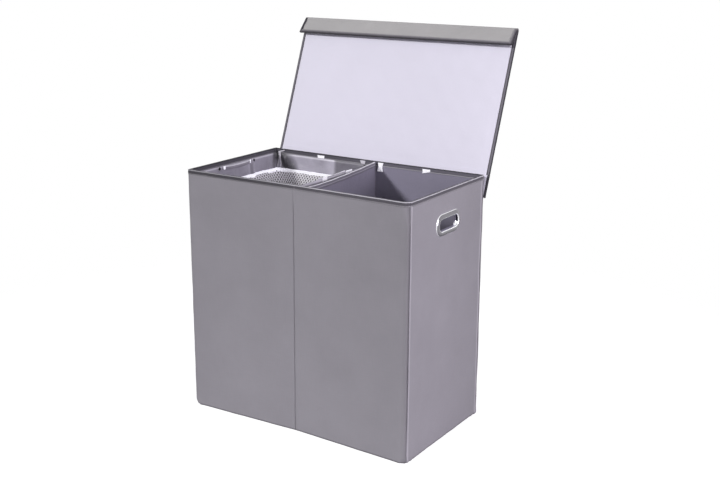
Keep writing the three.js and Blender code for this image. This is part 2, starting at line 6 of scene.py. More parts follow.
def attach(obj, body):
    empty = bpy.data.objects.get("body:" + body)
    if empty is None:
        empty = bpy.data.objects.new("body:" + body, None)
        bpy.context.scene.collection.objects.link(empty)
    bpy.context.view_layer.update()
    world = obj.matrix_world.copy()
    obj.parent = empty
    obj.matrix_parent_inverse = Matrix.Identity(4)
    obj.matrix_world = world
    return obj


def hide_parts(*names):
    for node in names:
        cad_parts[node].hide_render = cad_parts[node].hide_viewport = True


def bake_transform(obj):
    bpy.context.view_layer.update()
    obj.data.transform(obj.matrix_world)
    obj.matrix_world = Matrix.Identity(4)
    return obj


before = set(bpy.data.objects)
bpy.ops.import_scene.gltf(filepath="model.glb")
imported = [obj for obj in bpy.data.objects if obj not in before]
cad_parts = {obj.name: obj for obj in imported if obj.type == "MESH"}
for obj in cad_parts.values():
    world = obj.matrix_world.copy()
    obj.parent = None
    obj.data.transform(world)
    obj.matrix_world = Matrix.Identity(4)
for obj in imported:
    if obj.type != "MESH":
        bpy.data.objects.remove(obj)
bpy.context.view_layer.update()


# ---- Front and back cover ----
# Grey woven polyester in two halves, sewn together at a middle seam that is drawn in, and turned round both corners,
# where a welted seam joins it to the side covers. Its lower edge is turned under the floor.

HALF_WIDTH, HALF_DEPTH = 310, 174  # mm, of the body outside
SIDE = HALF_WIDTH + HALF_DEPTH     # mm round from the middle of the front to the middle of the right side
BACK = 2 * SIDE                    # and to the middle of the back
SEAM = 316                         # and to the front right corner seam
DRAWN_IN = [0, 600], [11, 4.5]     # heights, and how far the front's middle is drawn in there
SEAM_LEAN = [0, 538], [-3.7, 1.9]  # heights, and how far to the right its middle seam is there


def smooth(t):
    """0 below 0, 1 above 1, and a smooth step between."""
    t = np.clip(t, 0, 1)
    return t * t * (3 - 2 * t)


def ripple(a, b, lengths, seed):
    """Unevenness of a cloth, about -1 to 1: three sine waves for each wavelength in lengths (mm), each in its own
    direction over the coordinates a and b (mm)."""
    waves = np.random.default_rng(seed)
    total = 0.0
    for length in lengths:
        for _ in range(3):
            turn, phase = waves.uniform(0, 2 * np.pi, 2)
            total = total + np.sin((a * np.cos(turn) + b * np.sin(turn)) * 2 * np.pi / length + phase)
    return total / np.sqrt(4.5 * len(lengths))


def rounded(q, left, right, front, back, radii):
    """Point round a rectangle with rounded corners: q is 0 at the front left corner, 1 at the front right one, 2 and
    3 at the back ones, and radii are their radii. Within 40 mm of a corner the path is spread evenly over the
    straight and the arc."""
    q = q % 4
    x = left + (right - left) * np.interp(q, [0, 1, 2, 3, 4], [0, 1, 1, 0, 0])
    y = front + (back - front) * np.interp(q, [0, 1, 2, 3, 4], [0, 0, 1, 1, 0])
    corners = ((left, front, 0, -1), (right, front, 1, 0), (right, back, 0, 1), (left, back, -1, 0))
    for corner, (cx, cy, ux, uy) in enumerate(corners):
        vx, vy = -uy, ux
        radius = radii[corner]
        away = (q - corner + 2) % 4 - 2
        side = np.where((away < 0) == (corner % 2 == 1), right - left, back - front)
        away = away * side
        reach = np.abs(away) / 40 * (40 - radius + np.pi / 4 * radius)
        turn = np.clip(reach / radius, 0, np.pi / 4)
        rest = reach - turn * radius
        angle = np.pi / 4 + np.sign(away) * turn
        px = cx + radius * (vx - ux) + radius * (ux * np.sin(angle) - vx * np.cos(angle))
        py = cy + radius * (vy - uy) + radius * (uy * np.sin(angle) - vy * np.cos(angle))
        px = px + rest * np.where(away < 0, -ux, vx)
        py = py + rest * np.where(away < 0, -uy, vy)
        near = np.abs(away) < 40
        x, y = np.where(near, px, x), np.where(near, py, y)
    return x, y


def wall(along, z, inset):
    """Point of the hamper's wall in mm. along runs round the sharp 620 x 348 rectangle from the middle of the front
    to the right; inset is the depth from the outer face. The front right corner opens at the rim, both front corners
    at the floor, and the other corners stay sharp. The front's middle is drawn in by 11 mm at the floor and 4.5 mm at
    the rim, the back's by 3 mm, and the front's middle seam leans."""
    along, z, inset = np.broadcast_arrays(np.asarray(along, float), np.asarray(z, float), np.asarray(inset, float))
    q = np.interp((along + HALF_WIDTH) % (2 * BACK), np.cumsum([0, 620, 348, 620, 348]), [0, 1, 2, 3, 4])
    top, foot = 14 * smooth((z - 548) / 60), smooth((16 - z) / 16)
    radii = [np.maximum(r - inset, 0.5) for r in (4 + 13 * foot, 5 + top + 15 * foot, 4 + 2 * foot, 4 + 5 * foot)]
    x, y = rounded(q, inset - HALF_WIDTH, HALF_WIDTH - inset, inset - HALF_DEPTH, HALF_DEPTH - inset, radii)
    middle = np.clip(1 - np.abs(x) / 298, 0, 1)
    y = y + middle * np.where(y < 0, np.interp(z, *DRAWN_IN), -3)
    x = x + np.where(y < 0, middle * np.interp(z, *SEAM_LEAN), 0)
    return np.stack([x, y, z], -1)


def lattice(u, v, hole=None):
    """The points of a grid of two parameters and its four-sided faces. hole is (middle u, middle v, half width, half
    height, corner radius) of a rounded opening, and the cells near it give way to three rings of cells that run from
    its edge to the grid lines round it."""
    ids = np.arange(len(u) * len(v)).reshape(len(u), len(v))
    U, V = (a.ravel() for a in np.meshgrid(u, v, indexing="ij"))
    cells = np.stack([ids[:-1, :-1], ids[1:, :-1], ids[1:, 1:], ids[:-1, 1:]], -1)
    if hole is None:
        return U, V, cells.reshape(-1, 4)
    mu, mv, a, b, r = hole
    i0, i1 = np.searchsorted(u, mu - a - 9), np.searchsorted(u, mu + a + 9)
    j0, j1 = np.searchsorted(v, mv - b - 9), np.searchsorted(v, mv + b + 9)
    keep = np.ones(cells.shape[:2], bool)
    keep[i0:i1, j0:j1] = False
    rim = np.concatenate([ids[i0:i1, j0], ids[i1, j0:j1], ids[i1:i0:-1, j1], ids[i0, j1:j0:-1]])
    way = np.arctan2(V[rim] - mv, U[rim] - mu)
    far = np.minimum(a / np.maximum(np.abs(np.cos(way)), 1e-9), b / np.maximum(np.abs(np.sin(way)), 1e-9))
    for _ in range(30):
        over = np.hypot(*(np.maximum(np.abs(far * turned(way)) - reach + r, 0)
                          for turned, reach in ((np.cos, a), (np.sin, b))))
        far = np.where(over > r, far - 0.5 * (over - r), far)
    edge_u, edge_v = mu + far * np.cos(way), mv + far * np.sin(way)
    share = np.array([0, 0.3, 0.65])[:, None]
    new = ids.size + np.arange(3 * len(rim)).reshape(3, -1)
    rings = np.concatenate([new, rim[None]])
    ring_cells = np.stack([rings[:-1], rings[1:], np.roll(rings[1:], -1, 1), np.roll(rings[:-1], -1, 1)], -1)
    U = np.concatenate([U, ((1 - share) * edge_u + share * U[rim]).ravel()])
    V = np.concatenate([V, ((1 - share) * edge_v + share * V[rim]).ravel()])
    return U, V, np.concatenate([cells[keep], ring_cells.reshape(-1, 4)])


def make(name, parts, material, thick=0.0, body="carcass", replaces=()):
    """A smooth mesh piece from parts, each (points in mm, faces, two flat coordinates in mm), made thick mm thick
    behind its faces. It rides on body and replaces the named CAD nodes. The flat coordinates become its
    UV map, in metres."""
    points, faces, flat, first = [], [], [], 0
    for place, cells, across, up in parts:
        points.append(place), faces.append(cells + first), flat.append(np.stack([across, up], -1))
        first += len(place)
    points, faces, flat = np.concatenate(points), np.concatenate(faces), np.concatenate(flat)
    mesh = bpy.data.meshes.new(name)
    mesh.from_pydata((points / 1000).tolist(), [], faces.tolist())
    layer = mesh.uv_layers.new(name="UVMap")
    layer.data.foreach_set("uv", (flat[faces.ravel()] / 1000).astype(np.float32).ravel())
    mesh.polygons.foreach_set("use_smooth", [True] * len(mesh.polygons))
    mesh.materials.append(material)
    piece = bpy.data.objects.new(name, mesh)
    bpy.context.collection.objects.link(piece)
    if thick:
        shell = piece.modifiers.new("cloth thickness", "SOLIDIFY")
        shell.thickness, shell.offset = thick / 1000, -1
    if body:
        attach(piece, body)
    if replaces:
        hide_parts(*replaces)
    return piece


def srgb(code):
    """Linear RGBA of a six-digit sRGB hex colour."""
    c = np.array([int(code[i:i + 2], 16) for i in (0, 2, 4)]) / 255
    return (*np.where(c <= 0.04045, c / 12.92, ((c + 0.055) / 1.055) ** 2.4).tolist(), 1.0)


def feed(tree, node, sockets):
    """Sets a node's inputs: a value is written on its socket and an output is linked to it. sockets is a dict, or a
    list for the first inputs in their order."""
    for key, value in sockets.items() if isinstance(sockets, dict) else enumerate(sockets):
        if isinstance(value, bpy.types.NodeSocket):
            tree.links.new(value, node.inputs[key])
        else:
            node.inputs[key].default_value = value


def add(tree, kind, sockets=(), out=0, **settings):
    """Adds a shader node with its settings and inputs. It gives back the output called out, or with None the node."""
    node = tree.nodes.new("ShaderNode" + kind)
    for key, value in settings.items():
        setattr(node, key, value)
    feed(tree, node, sockets)
    return node if out is None else node.outputs[out]


def blank(name):
    """A new material, its node tree and its shader."""
    material = bpy.data.materials.new(name)
    material.use_nodes = True
    return material, material.node_tree, material.node_tree.nodes["Principled BSDF"]


def cloth(name, colour, pitch=0.6, threads=0.03, mottle=0.04, crumple=0.5, roughness=0.9, sheen=0.15, relief=0.05,
          bands=(), stitches=(), fade=(), panel=(), turn=0.484):
    """A woven cloth. Warp and weft are two sets of waves, pitch mm apart and relief mm high; long narrow noise along
    each makes single threads lighter and darker by threads; broad noise makes the cloth uneven by mottle; crumple is
    the height in mm of its small creases. bands are (distance in mm across the strip, colour) pairs that take the
    place of the one colour, and stitches the distances across it of rows of 2.4 mm stitches. fade is an axis and two
    (mm, brightness) pairs, a painted drift of light and shade along that axis. panel are (distance in mm along the
    piece, brightness) pairs of painted light and shade; the distance runs back and forth over turn metres, and so
    starts from the middle of a front or back panel."""
    material, tree, shade = blank(name)

    def ramp(share, stops):
        """Colour over share, 0 to 1, from (position, colour) stops."""
        node = add(tree, "ValToRGB", [share], None)
        while len(node.color_ramp.elements) < len(stops):
            node.color_ramp.elements.new(0.5)
        for element, (position, tint) in zip(node.color_ramp.elements, stops):
            element.position, element.color = position, tint
        return node.outputs["Color"]

    flat = add(tree, "UVMap", uv_map="UVMap")
    place = add(tree, "TexCoord", out="Object")
    long, short = 1 / 0.03, 1 / 0.0012
    singles = [add(tree, "TexNoise", {"Vector": add(tree, "Mapping", {"Vector": flat, "Scale": stretch}), "Scale": 1.0,
                                      "Detail": 1.0}) for stretch in ((short, long, 1), (long, short, 1))]
    single = add(tree, "Math", singles, operation="ADD")
    waves = [add(tree, "TexWave", {"Vector": flat, "Scale": 314.16 / pitch, "Distortion": 0.5}, "Fac",
                 bands_direction=direction) for direction in "XY"]
    height = add(tree, "Math", waves, operation="MULTIPLY")
    broad = add(tree, "TexNoise", {"Vector": place, "Scale": 9.0, "Detail": 3.0})
    small = add(tree, "TexNoise", {"Vector": place, "Scale": 55.0, "Detail": 4.0})
    value = add(tree, "MapRange", [single, 0.6, 1.4, 1 - threads, 1 + threads])
    uneven = add(tree, "MapRange", [broad, 0.3, 0.7, 1 - mottle, 1 + mottle])
    value = add(tree, "Math", [value, uneven], operation="MULTIPLY")
    base = srgb(colour)
    axes = add(tree, "SeparateXYZ", [flat], None).outputs
    # Painted light and shade that drift along one axis
    if fade:
        axis, (start, at_start), (end, at_end) = fade
        drift = add(tree, "MapRange", [add(tree, "SeparateXYZ", [place], axis), start / 1000, end / 1000, at_start,
                                       at_end], interpolation_type="SMOOTHSTEP")
        value = add(tree, "Math", [value, drift], operation="MULTIPLY")
    # Painted light and shade along the piece
    if panel:
        first, last = panel[0][0], panel[-1][0]
        middle = add(tree, "Math", [axes["X"], turn], operation="PINGPONG")
        share = add(tree, "MapRange", [middle, first / 1000, last / 1000])
        level = ramp(share, [((mm - first) / (last - first), (bright, bright, bright, 1)) for mm, bright in panel])
        value = add(tree, "Math", [value, level], operation="MULTIPLY")
    if bands:
        width = bands[-1][0]
        share = add(tree, "Math", [axes["Y"], 1000 / width], operation="MULTIPLY")
        base = ramp(share, [(mm / width, srgb(tint)) for mm, tint in bands])
    tone = add(tree, "HueSaturation", {"Value": value, "Color": base})
    for distance in stitches:
        row = add(tree, "Math", [axes["Y"], distance / 1000, 0.0004], operation="COMPARE")
        along = add(tree, "Math", [axes["X"], 1 / 0.0032], operation="MULTIPLY")
        part = add(tree, "Math", [along], operation="FRACT")
        dash = add(tree, "Math", [part, 0.75], operation="LESS_THAN")
        thread = add(tree, "Math", [row, dash], operation="MULTIPLY")
        tone = add(tree, "Mix", {0: thread, 6: tone, 7: srgb("a5a2a8")}, 2, data_type="RGBA")
        height = add(tree, "Math", [thread, 3.0, height], operation="MULTIPLY_ADD")
    soft = add(tree, "Bump", {"Height": small, "Distance": crumple / 1000, "Strength": 1.0})
    fine = add(tree, "Bump", {"Height": height, "Distance": relief / 1000, "Strength": 1.0, "Normal": soft})
    feed(tree, shade, {"Base Color": tone, "Normal": fine, "Roughness": roughness, "Sheen Weight": sheen,
                       "Sheen Roughness": 0.5, "Specular IOR Level": 0.25})
    return material


# Polyester Oxford cloth, woven of dyed yarn 0.6 mm apart: matt grey, single threads a little lighter or darker, faint
# creases. Towards the front's right and the sides' back the walls bow out of the light, and that shade is painted in:
# those panels get slightly darker there. Their hem is painted dark as shade where it is turned under, and beside the
# corner seams a painted shade and a painted highlight stand for the welts catching the light.
grey = cloth("woven_grey_polyester", "8a878e")
hem = ((0, "55525a"), (2.6, "5d5a61"), (3.6, "7c7980"), (6.0, "8a878e"), (60, "8a878e"))
seam_painted_light = ((298, 1.0), (306, 0.94), (311, 0.80), (313.6, 0.62), (315.8, 0.62), (316.6, 1.45), (321, 1.45), (325, 1.0))
panel_greys = {side: cloth(f"woven_grey_polyester_{side}_panel", "8a878e", bands=hem, panel=seam_painted_light, fade=fade)
               for side, fade in (("front", ("X", (0, 1.035), (300, 0.955))), ("back", ()),
                                  ("side", ("Y", (-60, 1.01), (150, 0.95))))}
seam_steps = np.array([0, 0.5, 1.2, 2, 3, 4.2, 5.5, 7, 9, 11.5, 14, 17, 20, 24])
heights = np.concatenate([
    [0, 0.4, 1, 1.8, 3, 5, 8, 12, 17, 23, 30], np.arange(40, 540, 9), np.arange(545, 600, 6), [603, 607.8]])


def cover_faces(along, z, seams, seed):
    """Depth in mm of a cover's outer face: a slow ripple, a lower edge turned under, puckers where its hem is
    bunched beside the corners, and at each of its seams (position, depth, welt) a groove with a welt beside it."""
    slack = 0.35 * ripple(along, z, (140, 60), seed) + 0.45 * ripple(along, 0.1 * z, (130, 52), seed + 50)
    inset = -0.25 - slack * smooth((585 - z) / 40)
    inset = inset + 3 - np.sqrt(9 - (3 - np.minimum(z, 3)) ** 2)
    for position, depth, welt in seams:
        middle = position in (0, BACK)
        deep = (0.25 + 0.75 * smooth((596 - z) / 60)) * (1 if middle else 0.2 + 0.8 * smooth((z - 25) / 70))
        inset = inset + depth * deep * np.exp(-((along - position) / 1.3) ** 2)
        ridge = np.where(along > position, 1.5, 0.5) if middle else 1
        inset = inset - welt * ridge * np.exp(-((np.abs(along - position) - 3.2) / 1.6) ** 2)
        if position:
            reach = np.abs(along - position)
            bunch = np.exp(-(reach / 38) ** 2) * smooth((26 - z) / 22)
            inset = inset - bunch * (0.7 + 0.9 * np.sin(reach / 2.6 + 0.12 * z))
    return inset


for side, middle, seed in (("front", 0, 3), ("back", BACK, 5)):
    spots = np.concatenate([middle - SEAM + seam_steps, np.arange(middle - 286, middle - 12, 6.5),
                            middle - np.array([9, 6, 4.2, 3, 2, 1.2, 0.5, 0])])
    spots = np.concatenate([spots, 2 * middle - spots[-2::-1]])
    U, V, faces = lattice(spots, heights)
    depth = cover_faces(U, V, ((middle - SEAM, 2.2, 0.6), (middle, 1.6, 0.5), (middle + SEAM, 2.2, 0.6)), seed)
    cover = make(f"{side}_cover_cloth", [(wall(U, V, depth), faces, U, V)], panel_greys[side], 0.8,
                 replaces=[f"{side}_cover"])


# ---- Left and right cover ----
# The same polyester between a front and a back corner seam, with the handle's opening cut out of it.

HANDLE = 529  # mm, the height of both handles' middles
opening = SIDE, HANDLE, 45.1, 16.1, 13
spots = np.concatenate([SEAM + seam_steps, np.arange(345, SIDE, 5.5)])
spots = np.concatenate([spots, [SIDE], BACK - spots[::-1]])
for side, shift, seed in (("left", BACK, 7), ("right", 0, 11)):
    U, V, faces = lattice(spots, heights, opening)
    depth = cover_faces(U, V, ((SEAM, 2.2, 0.6), (BACK - SEAM, 2.2, 0.6)), seed)
    cover = make(f"{side}_cover_cloth", [(wall(U + shift, V, depth), faces, U, V)], panel_greys["side"],
                 0.8, replaces=[f"{side}_cover"])


# ---- Stiffening boards ----
# Six pieces of 2.5 mm greyboard between the covers and the linings: a left and a right one in front and back wall,
# with a gap at the middle seams where the body folds, and one in each side wall with the handle's opening.

# Greyboard, waste pulp pressed into sheets: pale and dark fibres 2 to 6 mm long, flecks and a rough, dusty face
board, tree, shade = blank("pressed_greyboard")
place = add(tree, "TexCoord", out="Object")
fibre = add(tree, "TexNoise", {"Vector": place, "Scale": 260.0, "Detail": 5.0, "Distortion": 1.5})
fleck = add(tree, "TexVoronoi", {"Vector": place, "Scale": 320.0})
value = add(tree, "Math", [add(tree, "MapRange", [fibre, 0.3, 0.7, 0.82, 1.12]),
                           add(tree, "MapRange", [fleck, 0.04, 0.12, 0.7, 1.0])], operation="MULTIPLY")
tone = add(tree, "HueSaturation", {"Value": value, "Color": srgb("8c8881")})
bump = add(tree, "Bump", {"Height": fibre, "Distance": 0.0002})
feed(tree, shade, {"Base Color": tone, "Normal": bump, "Roughness": 0.95})

rows = np.concatenate([[6, 12, 20, 30], np.arange(50, 540, 20), [550, 570, 590, 607.8]])
for name, first, last in (("front_right", 1.5, 298), ("back_right", BACK - 298, BACK - 1.5),
                          ("back_left", BACK + 1.5, BACK + 298), ("front_left", 2 * BACK - 298, 2 * BACK - 1.5)):
    U, V, faces = lattice(np.linspace(first, last, 24), rows)
    make(f"{name}_board_sheet", [(wall(U, V, 1.1), faces, U, V)], board, 2.5,
         replaces=[f"{name}_board"])
rows = np.concatenate([rows[rows < 480], np.arange(490, 590, 6), [596, 607.8]])
for side, shift in (("left", BACK), ("right", 0)):
    U, V, faces = lattice(np.arange(322, 648, 6), rows, opening)
    make(f"{side}_side_board_sheet", [(wall(U + shift, V, 1.1), faces, U, V)], board, 2.5,
         replaces=[f"{side}_side_board"])


# ---- Base cloth ----
# The body's floor, one sheet of the grey polyester sewn to the lower edge of all four walls.

spots = np.concatenate([-np.linspace(SIDE, 290, 40), np.arange(-284, 286, 8), np.linspace(290, SIDE, 40)])
U, V, faces = lattice(spots, np.linspace(0, 1, 25))
points = wall(U, 0.9, 1.4) * (1 - V[:, None]) + wall(BACK - U, 0.9, 1.4) * V[:, None]
points[:, 2] = 0.9 - 0.25 * (1 + ripple(points[:, 0], points[:, 1], (90, 40), 17)) / 2
base_cloth = make("base_cloth_sheet", [(points, faces, *points[:, :2].T)], grey, 0.6,
                  replaces=["base_cloth"])


# ---- Divider board ----
# A 4 mm greyboard wall between the bins. Its top has sagged by up to 14 mm and its middle is bowed to the right.

def divider(share, z, face):
    """Point of the divider: share is 0 at the front wall and 1 at the back wall, z its height before it sagged, and
    face the distance in mm to the right of its middle plane. The top sags in a long curve and bows to the right;
    both fade out below mid height."""
    front = -169.3 + np.interp(z, *DRAWN_IN)
    y = front + (166.3 - front) * share
    knots, drops = [-172, -150, -125, -85, -40, 5, 50, 95, 140, 172], [7, 11, 13, 14, 14, 12, 9.5, 7, 3, 0]
    sag = np.polyval(np.polyfit(knots, drops, 4), y) * smooth((z - 220) / 390)
    bow = (6 + y * 2.2 / 170) * smooth((z - 110) / 430)
    lean = np.interp(z, *SEAM_LEAN) * (1 - share)
    return np.stack([face + bow + lean * smooth((z - 40) / 200), y, z - sag], -1)


DEPTH = 340  # mm of the divider from front to back
rows = np.concatenate([[6, 20, 40], np.arange(60, 600, 18), [604, 607.6]])
parts = []
for face, way in ((2, 1), (-2, -1)):
    U, V, faces = lattice(np.linspace(0, 1, 40)[::way], rows)
    parts.append((divider(U, V, face), faces, DEPTH * U, V))
make("divider_board_sheet", parts, board, replaces=["divider_board"])


# ---- Bin linings ----
# Thin grey-violet woven lining, a tube in each bin: round the three walls and back along the divider.

# Light polyester lining, woven 0.5 mm apart and not pressed: soft creases all over, and painted shade that makes it
# darker below, where little light comes
lining_cloth = cloth("thin_woven_lining", "868293", fade=("Z", (450, 0.5), (525, 1.0)), pitch=0.5, mottle=0.05,
                     crumple=0.9, sheen=0.1)
rows = np.concatenate([[1.5, 5, 10, 20, 32], np.arange(45, 500, 9), np.arange(502, 603, 6), [607.6]])
spots = np.concatenate([np.arange(1, 280, 8), np.arange(282, 340, 3), np.arange(342, 482, 5.5)])
spots = np.concatenate([spots, [SIDE], BACK - spots[::-1]])
for side, shift, way, seed in (("left", BACK, -1, 23), ("right", 0, 1, 29)):
    U, V, faces = lattice(spots, rows, (SIDE, HANDLE, 43.4, 14.4, 12))
    loose = smooth((590 - V) / 60) * smooth(V / 60)
    inset = 4.1 + 1.3 * loose * (0.5 + 0.5 * ripple(U, V, (170, 70, 33), seed))
    parts = [(wall(U + shift, V, inset), faces, U, V)]
    U, V, faces = lattice(np.linspace(0, 1, 60)[::way], rows)
    loose = smooth((590 - V) / 60) * smooth(V / 60)
    bulge = 2.9 + loose * (0.5 + 0.5 * ripple(DEPTH * U, V, (150, 60), seed + 8))
    parts.append((divider(U, V, way * bulge), faces, DEPTH * U, V))
    lining = make(f"{side}_bin_lining_cloth", parts, lining_cloth, 0.5,
                  replaces=[f"{side}_bin_lining"])


# ---- Rim binding ----
# A darker folded band of ribbed tape sewn over the top edge of all four walls, 12 mm deep inside and outside.

def swept(places, profile):
    """The grid of a profile, points (a, b) in mm, swept along places: the place, the profile's step and its a and b
    at each grid point, the faces, and the distance in mm round the profile."""
    U, V, faces = lattice(places, np.arange(len(profile)))
    step = V.astype(int)
    girth = np.concatenate([[0], np.cumsum(np.hypot(*np.diff(profile, axis=0).T))])
    return U, step, *profile[step].T, faces, girth[step]


# Ribbed polyester tape, folded in half by the binder and sewn through with one row of pale thread: dull, with painted
# shade in its folds and along its inner side, a painted highlight along its top edge, a pale band at its inner lower
# edge, and painted shade that makes it darker to the left of the middle
rim_tape = cloth("folded_rim_binding", "8a878d", pitch=1.1, mottle=0.05, crumple=0.6, relief=0.12, stitches=(1.9,),
                 fade=("X", (-140, 0.66), (60, 1.0)), bands=(
    (0, "4b484f"), (0.9, "55525a"), (1.5, "7d7a81"), (3.2, "7d7a81"), (4.2, "535057"), (9.8, "504d54"),
    (11.0, "bfbdc5"), (12.4, "bfbdc5"), (13.4, "55525a"), (15.5, "35323b"), (19.0, "35323b"), (20.5, "615e68"),
    (24.5, "696670"), (26.6, "615e68"), (28.2, "b5b2ba"), (31.0, "b5b2ba")))
profile = np.array([
    (0.2, 598.2), (-0.7, 597.9), (-1.0, 599.2), (-0.75, 600.4), (-1.0, 603), (-1.0, 605.2), (-0.55, 606.0),
    (-0.2, 606.4), (-0.6, 606.8), (-1.0, 607.4), (-1.0, 608.2), (-0.6, 608.8), (0.5, 609.2), (2.0, 609.2),
    (3.2, 609.0), (4.0, 608.6), (4.9, 608.5), (5.6, 607.8), (5.75, 606), (5.7, 602), (5.3, 600.4), (5.7, 599.2),
    (5.4, 597.9), (4.6, 598.2)])
runs = ((-300, 300, 5), (300, 320, 2), (320, 648, 5), (648, 668, 2), (668, 1268, 5), (1268, 1288, 2),
        (1288, 1616, 5), (1616, 1637, 2))
U, step, inset, z, faces, girth = swept(np.concatenate([np.arange(*run) for run in runs]), profile)
inset = inset + np.where(step < 12, -1, 1) * 0.2 * np.clip(ripple(U, z, (90, 26), 41), 0, 1)
knot = np.exp(-((U - 1280) / 13) ** 2)
inset = inset + knot * (1.0 + 0.9 * np.sin(U / 1.9 + step))
z = z + 0.25 * ripple(U, 0 * U, (70, 23), 43) * np.abs(step - 12) / 12 + knot * (
    0.3 * smooth((z - 600) / 9) - 1.5 * smooth((602 - z) / 4))
make("rim_binding_tape", [(wall(U, z, inset), faces, U, girth)], rim_tape,
     replaces=["rim_binding"])


# ---- Divider binding ----
# The same tape folded over the divider's top edge; it follows the sag and is a little slack.

# Ribbed polyester tape as on the rim, its own copy for the divider's top, which lies in full light: its pale
# stripes along the rounded top and the right side are painted highlights
highlit_divider_tape = cloth("folded_divider_binding", "8a8790", pitch=1.1, mottle=0.05, crumple=0.7, relief=0.12, bands=(
    (0, "7f7c86"), (9.8, "85828c"), (10.8, "e4e2ea"), (12.2, "e4e2ea"), (13.0, "807d87"), (15.4, "918e97"),
    (16.4, "f0eef6"), (18.0, "f0eef6"), (19.0, "7c7984"), (23.4, "7a7682"), (24.2, "a3a0ab"), (25.4, "a3a0ab"),
    (26.2, "76727f"), (30.0, "76727f")))
profile = np.array([
    (-2.9, 598.3), (-3.7, 597.9), (-4.0, 599.3), (-3.7, 600.5), (-4.0, 604), (-3.9, 607), (-3.3, 608.4),
    (-1.9, 609.2), (0, 609.4), (1.9, 609.2), (3.3, 608.4), (3.9, 607), (4.0, 604), (3.7, 600.5), (4.0, 599.3),
    (3.7, 597.9), (2.9, 598.3)])
U, _, across, level, faces, girth = swept(np.linspace(0.012, 0.988, 70), profile)
drift = 0.25 * ripple(DEPTH * U, 0 * U, (60, 21), 47) - 0.3
across = across * (1 + 0.08 * ripple(DEPTH * U, level, (50, 24), 53))
points = divider(U, 609.0, 0.0) + np.stack([across, 0 * U, level - 609.0 + drift], -1)
make("divider_binding_tape", [(points, faces[:, ::-1], DEPTH * U, girth)], highlit_divider_tape,
     replaces=["divider_binding"])


# ---- Steel plates ----
# Two thin bare steel discs sewn in behind the front wall's boards, which the flap's magnets find.

def metal(name, colour, roughness, grain, edges=None):
    """A bare metal with fine wavy unevenness, stretched by grain for a brushed face. edges is a second, brighter
    colour and the two distances in mm across the strip beyond which it shows: a painted highlight on the lips."""
    material, tree, shade = blank(name)
    place = add(tree, "TexCoord", out="Object")
    turned = add(tree, "Mapping", {"Vector": place, "Scale": (1, grain, grain)})
    lines = add(tree, "TexNoise", {"Vector": turned, "Scale": 90.0, "Detail": 3.0})
    rough = add(tree, "MapRange", [lines, 0, 1, roughness * 0.7, roughness * 1.3])
    bump = add(tree, "Bump", {"Height": lines, "Distance": 0.00003, "Strength": 0.6})
    tone = srgb(colour)
    if edges:
        # The lips get a painted highlight
        bright, first, last = edges
        middle, half = (first + last) / 2000, (last - first) / 2000
        across = add(tree, "SeparateXYZ", [add(tree, "UVMap", uv_map="UVMap")], "Y")
        off = add(tree, "Math", [across, middle], operation="SUBTRACT")
        off = add(tree, "Math", [off], operation="ABSOLUTE")
        painted_lip_highlight = add(tree, "MapRange", [off, half - 0.0004, half + 0.0004])
        tone = add(tree, "Mix", {0: painted_lip_highlight, 6: tone, 7: srgb(bright)}, 2, data_type="RGBA")
    feed(tree, shade, {"Base Color": tone, "Normal": bump, "Roughness": rough, "Metallic": 1.0})
    return material


# Cold-rolled steel, punched and brushed: fine lines along X that spread the shine
steel = metal("brushed_bare_steel", "b4b2b0", 0.35, 14)
disc = np.array([(0.02, 0), (3, 0), (6, 0), (8.8, 0), (9.7, 0.12), (10, 0.5), (9.7, 0.88), (8.8, 1), (0.02, 1)])
for side, middle in (("left", 2 * BACK - 155), ("right", 155)):
    turn, _, radius, lift, faces, _ = swept(np.linspace(0, 2 * np.pi, 49), disc)
    along, z = middle + radius * np.cos(turn), 584.4 + radius * np.sin(turn)
    make(f"{side}_steel_plate_disc", [(wall(along, z, 3.62 + 0.25 * lift), faces[:, ::-1], along, z)], steel,
         replaces=[f"{side}_steel_plate"])


# ---- Handle rings ----
# A polished pressed-metal oval on each side wall: a domed outer ring whose sleeve goes through the wall, and a
# flatter inner ring clinched on it inside.

def oval(t, grow):
    """Point at t, 0 to 1, round the 86 x 28 mm opening with 12 mm corners, grown by grow mm on every side."""
    arc = np.pi / 2 * 12
    stops = np.cumsum([0, 2, arc, 62, arc, 4, arc, 62, arc, 2])
    s = t * stops[-1]
    angle = np.radians(np.interp(s, stops, [0, 0, 90, 90, 180, 180, 270, 270, 360, 360]))
    a = np.interp(s, stops, [31, 31, 31, -31, -31, -31, -31, 31, 31, 31])
    b = np.interp(s, stops, [0, 2, 2, 2, 2, -2, -2, -2, -2, 0])
    return a + (12 + grow) * np.cos(angle), b + (12 + grow) * np.sin(angle)


# Pressed steel with a bright chrome plating, polished: a mirror with slight waves. Its colour is painted darker, a
# painted reflection of dim surroundings, and its two lips are palest, a painted highlight
chrome = metal("polished_chrome", "86848a", 0.10, 2, edges=("fbfbff", 3.0, 12.6))
outer_profile = np.array([
    (11.9, -0.35), (12.1, 0.5), (11.6, 1.5), (10.2, 2.6), (8.2, 3.5), (6.2, 4.1), (4.2, 4.45), (2.4, 4.5), (1.0, 4.2),
    (0.25, 3.4), (0.0, 2.2), (0.0, -3.0), (0.0, -6.8), (0.6, -7.1), (1.7, -7.0), (1.8, -3)])
inner_profile = np.array([
    (1.9, -4.9), (9.6, -4.9), (10.0, -5.4), (9.7, -6.1), (8.4, -6.7), (6, -7.1), (3.6, -7.1), (2.2, -6.7), (1.9, -6)])
for side, way in (("left", -1), ("right", 1)):
    for kind, profile in (("outer", outer_profile), ("inner", inner_profile)):
        t, _, grow, out, faces, girth = swept(np.linspace(0, 1, 121), profile)
        a, b = oval(t, grow)
        points = np.stack([way * (HALF_WIDTH + out), a, HANDLE + b], -1)
        make(f"{side}_handle_{kind}_ring_polished", [(points, faces[:, ::way], 200 * t, girth)], chrome,
             replaces=[f"{side}_handle_{kind}_ring"])
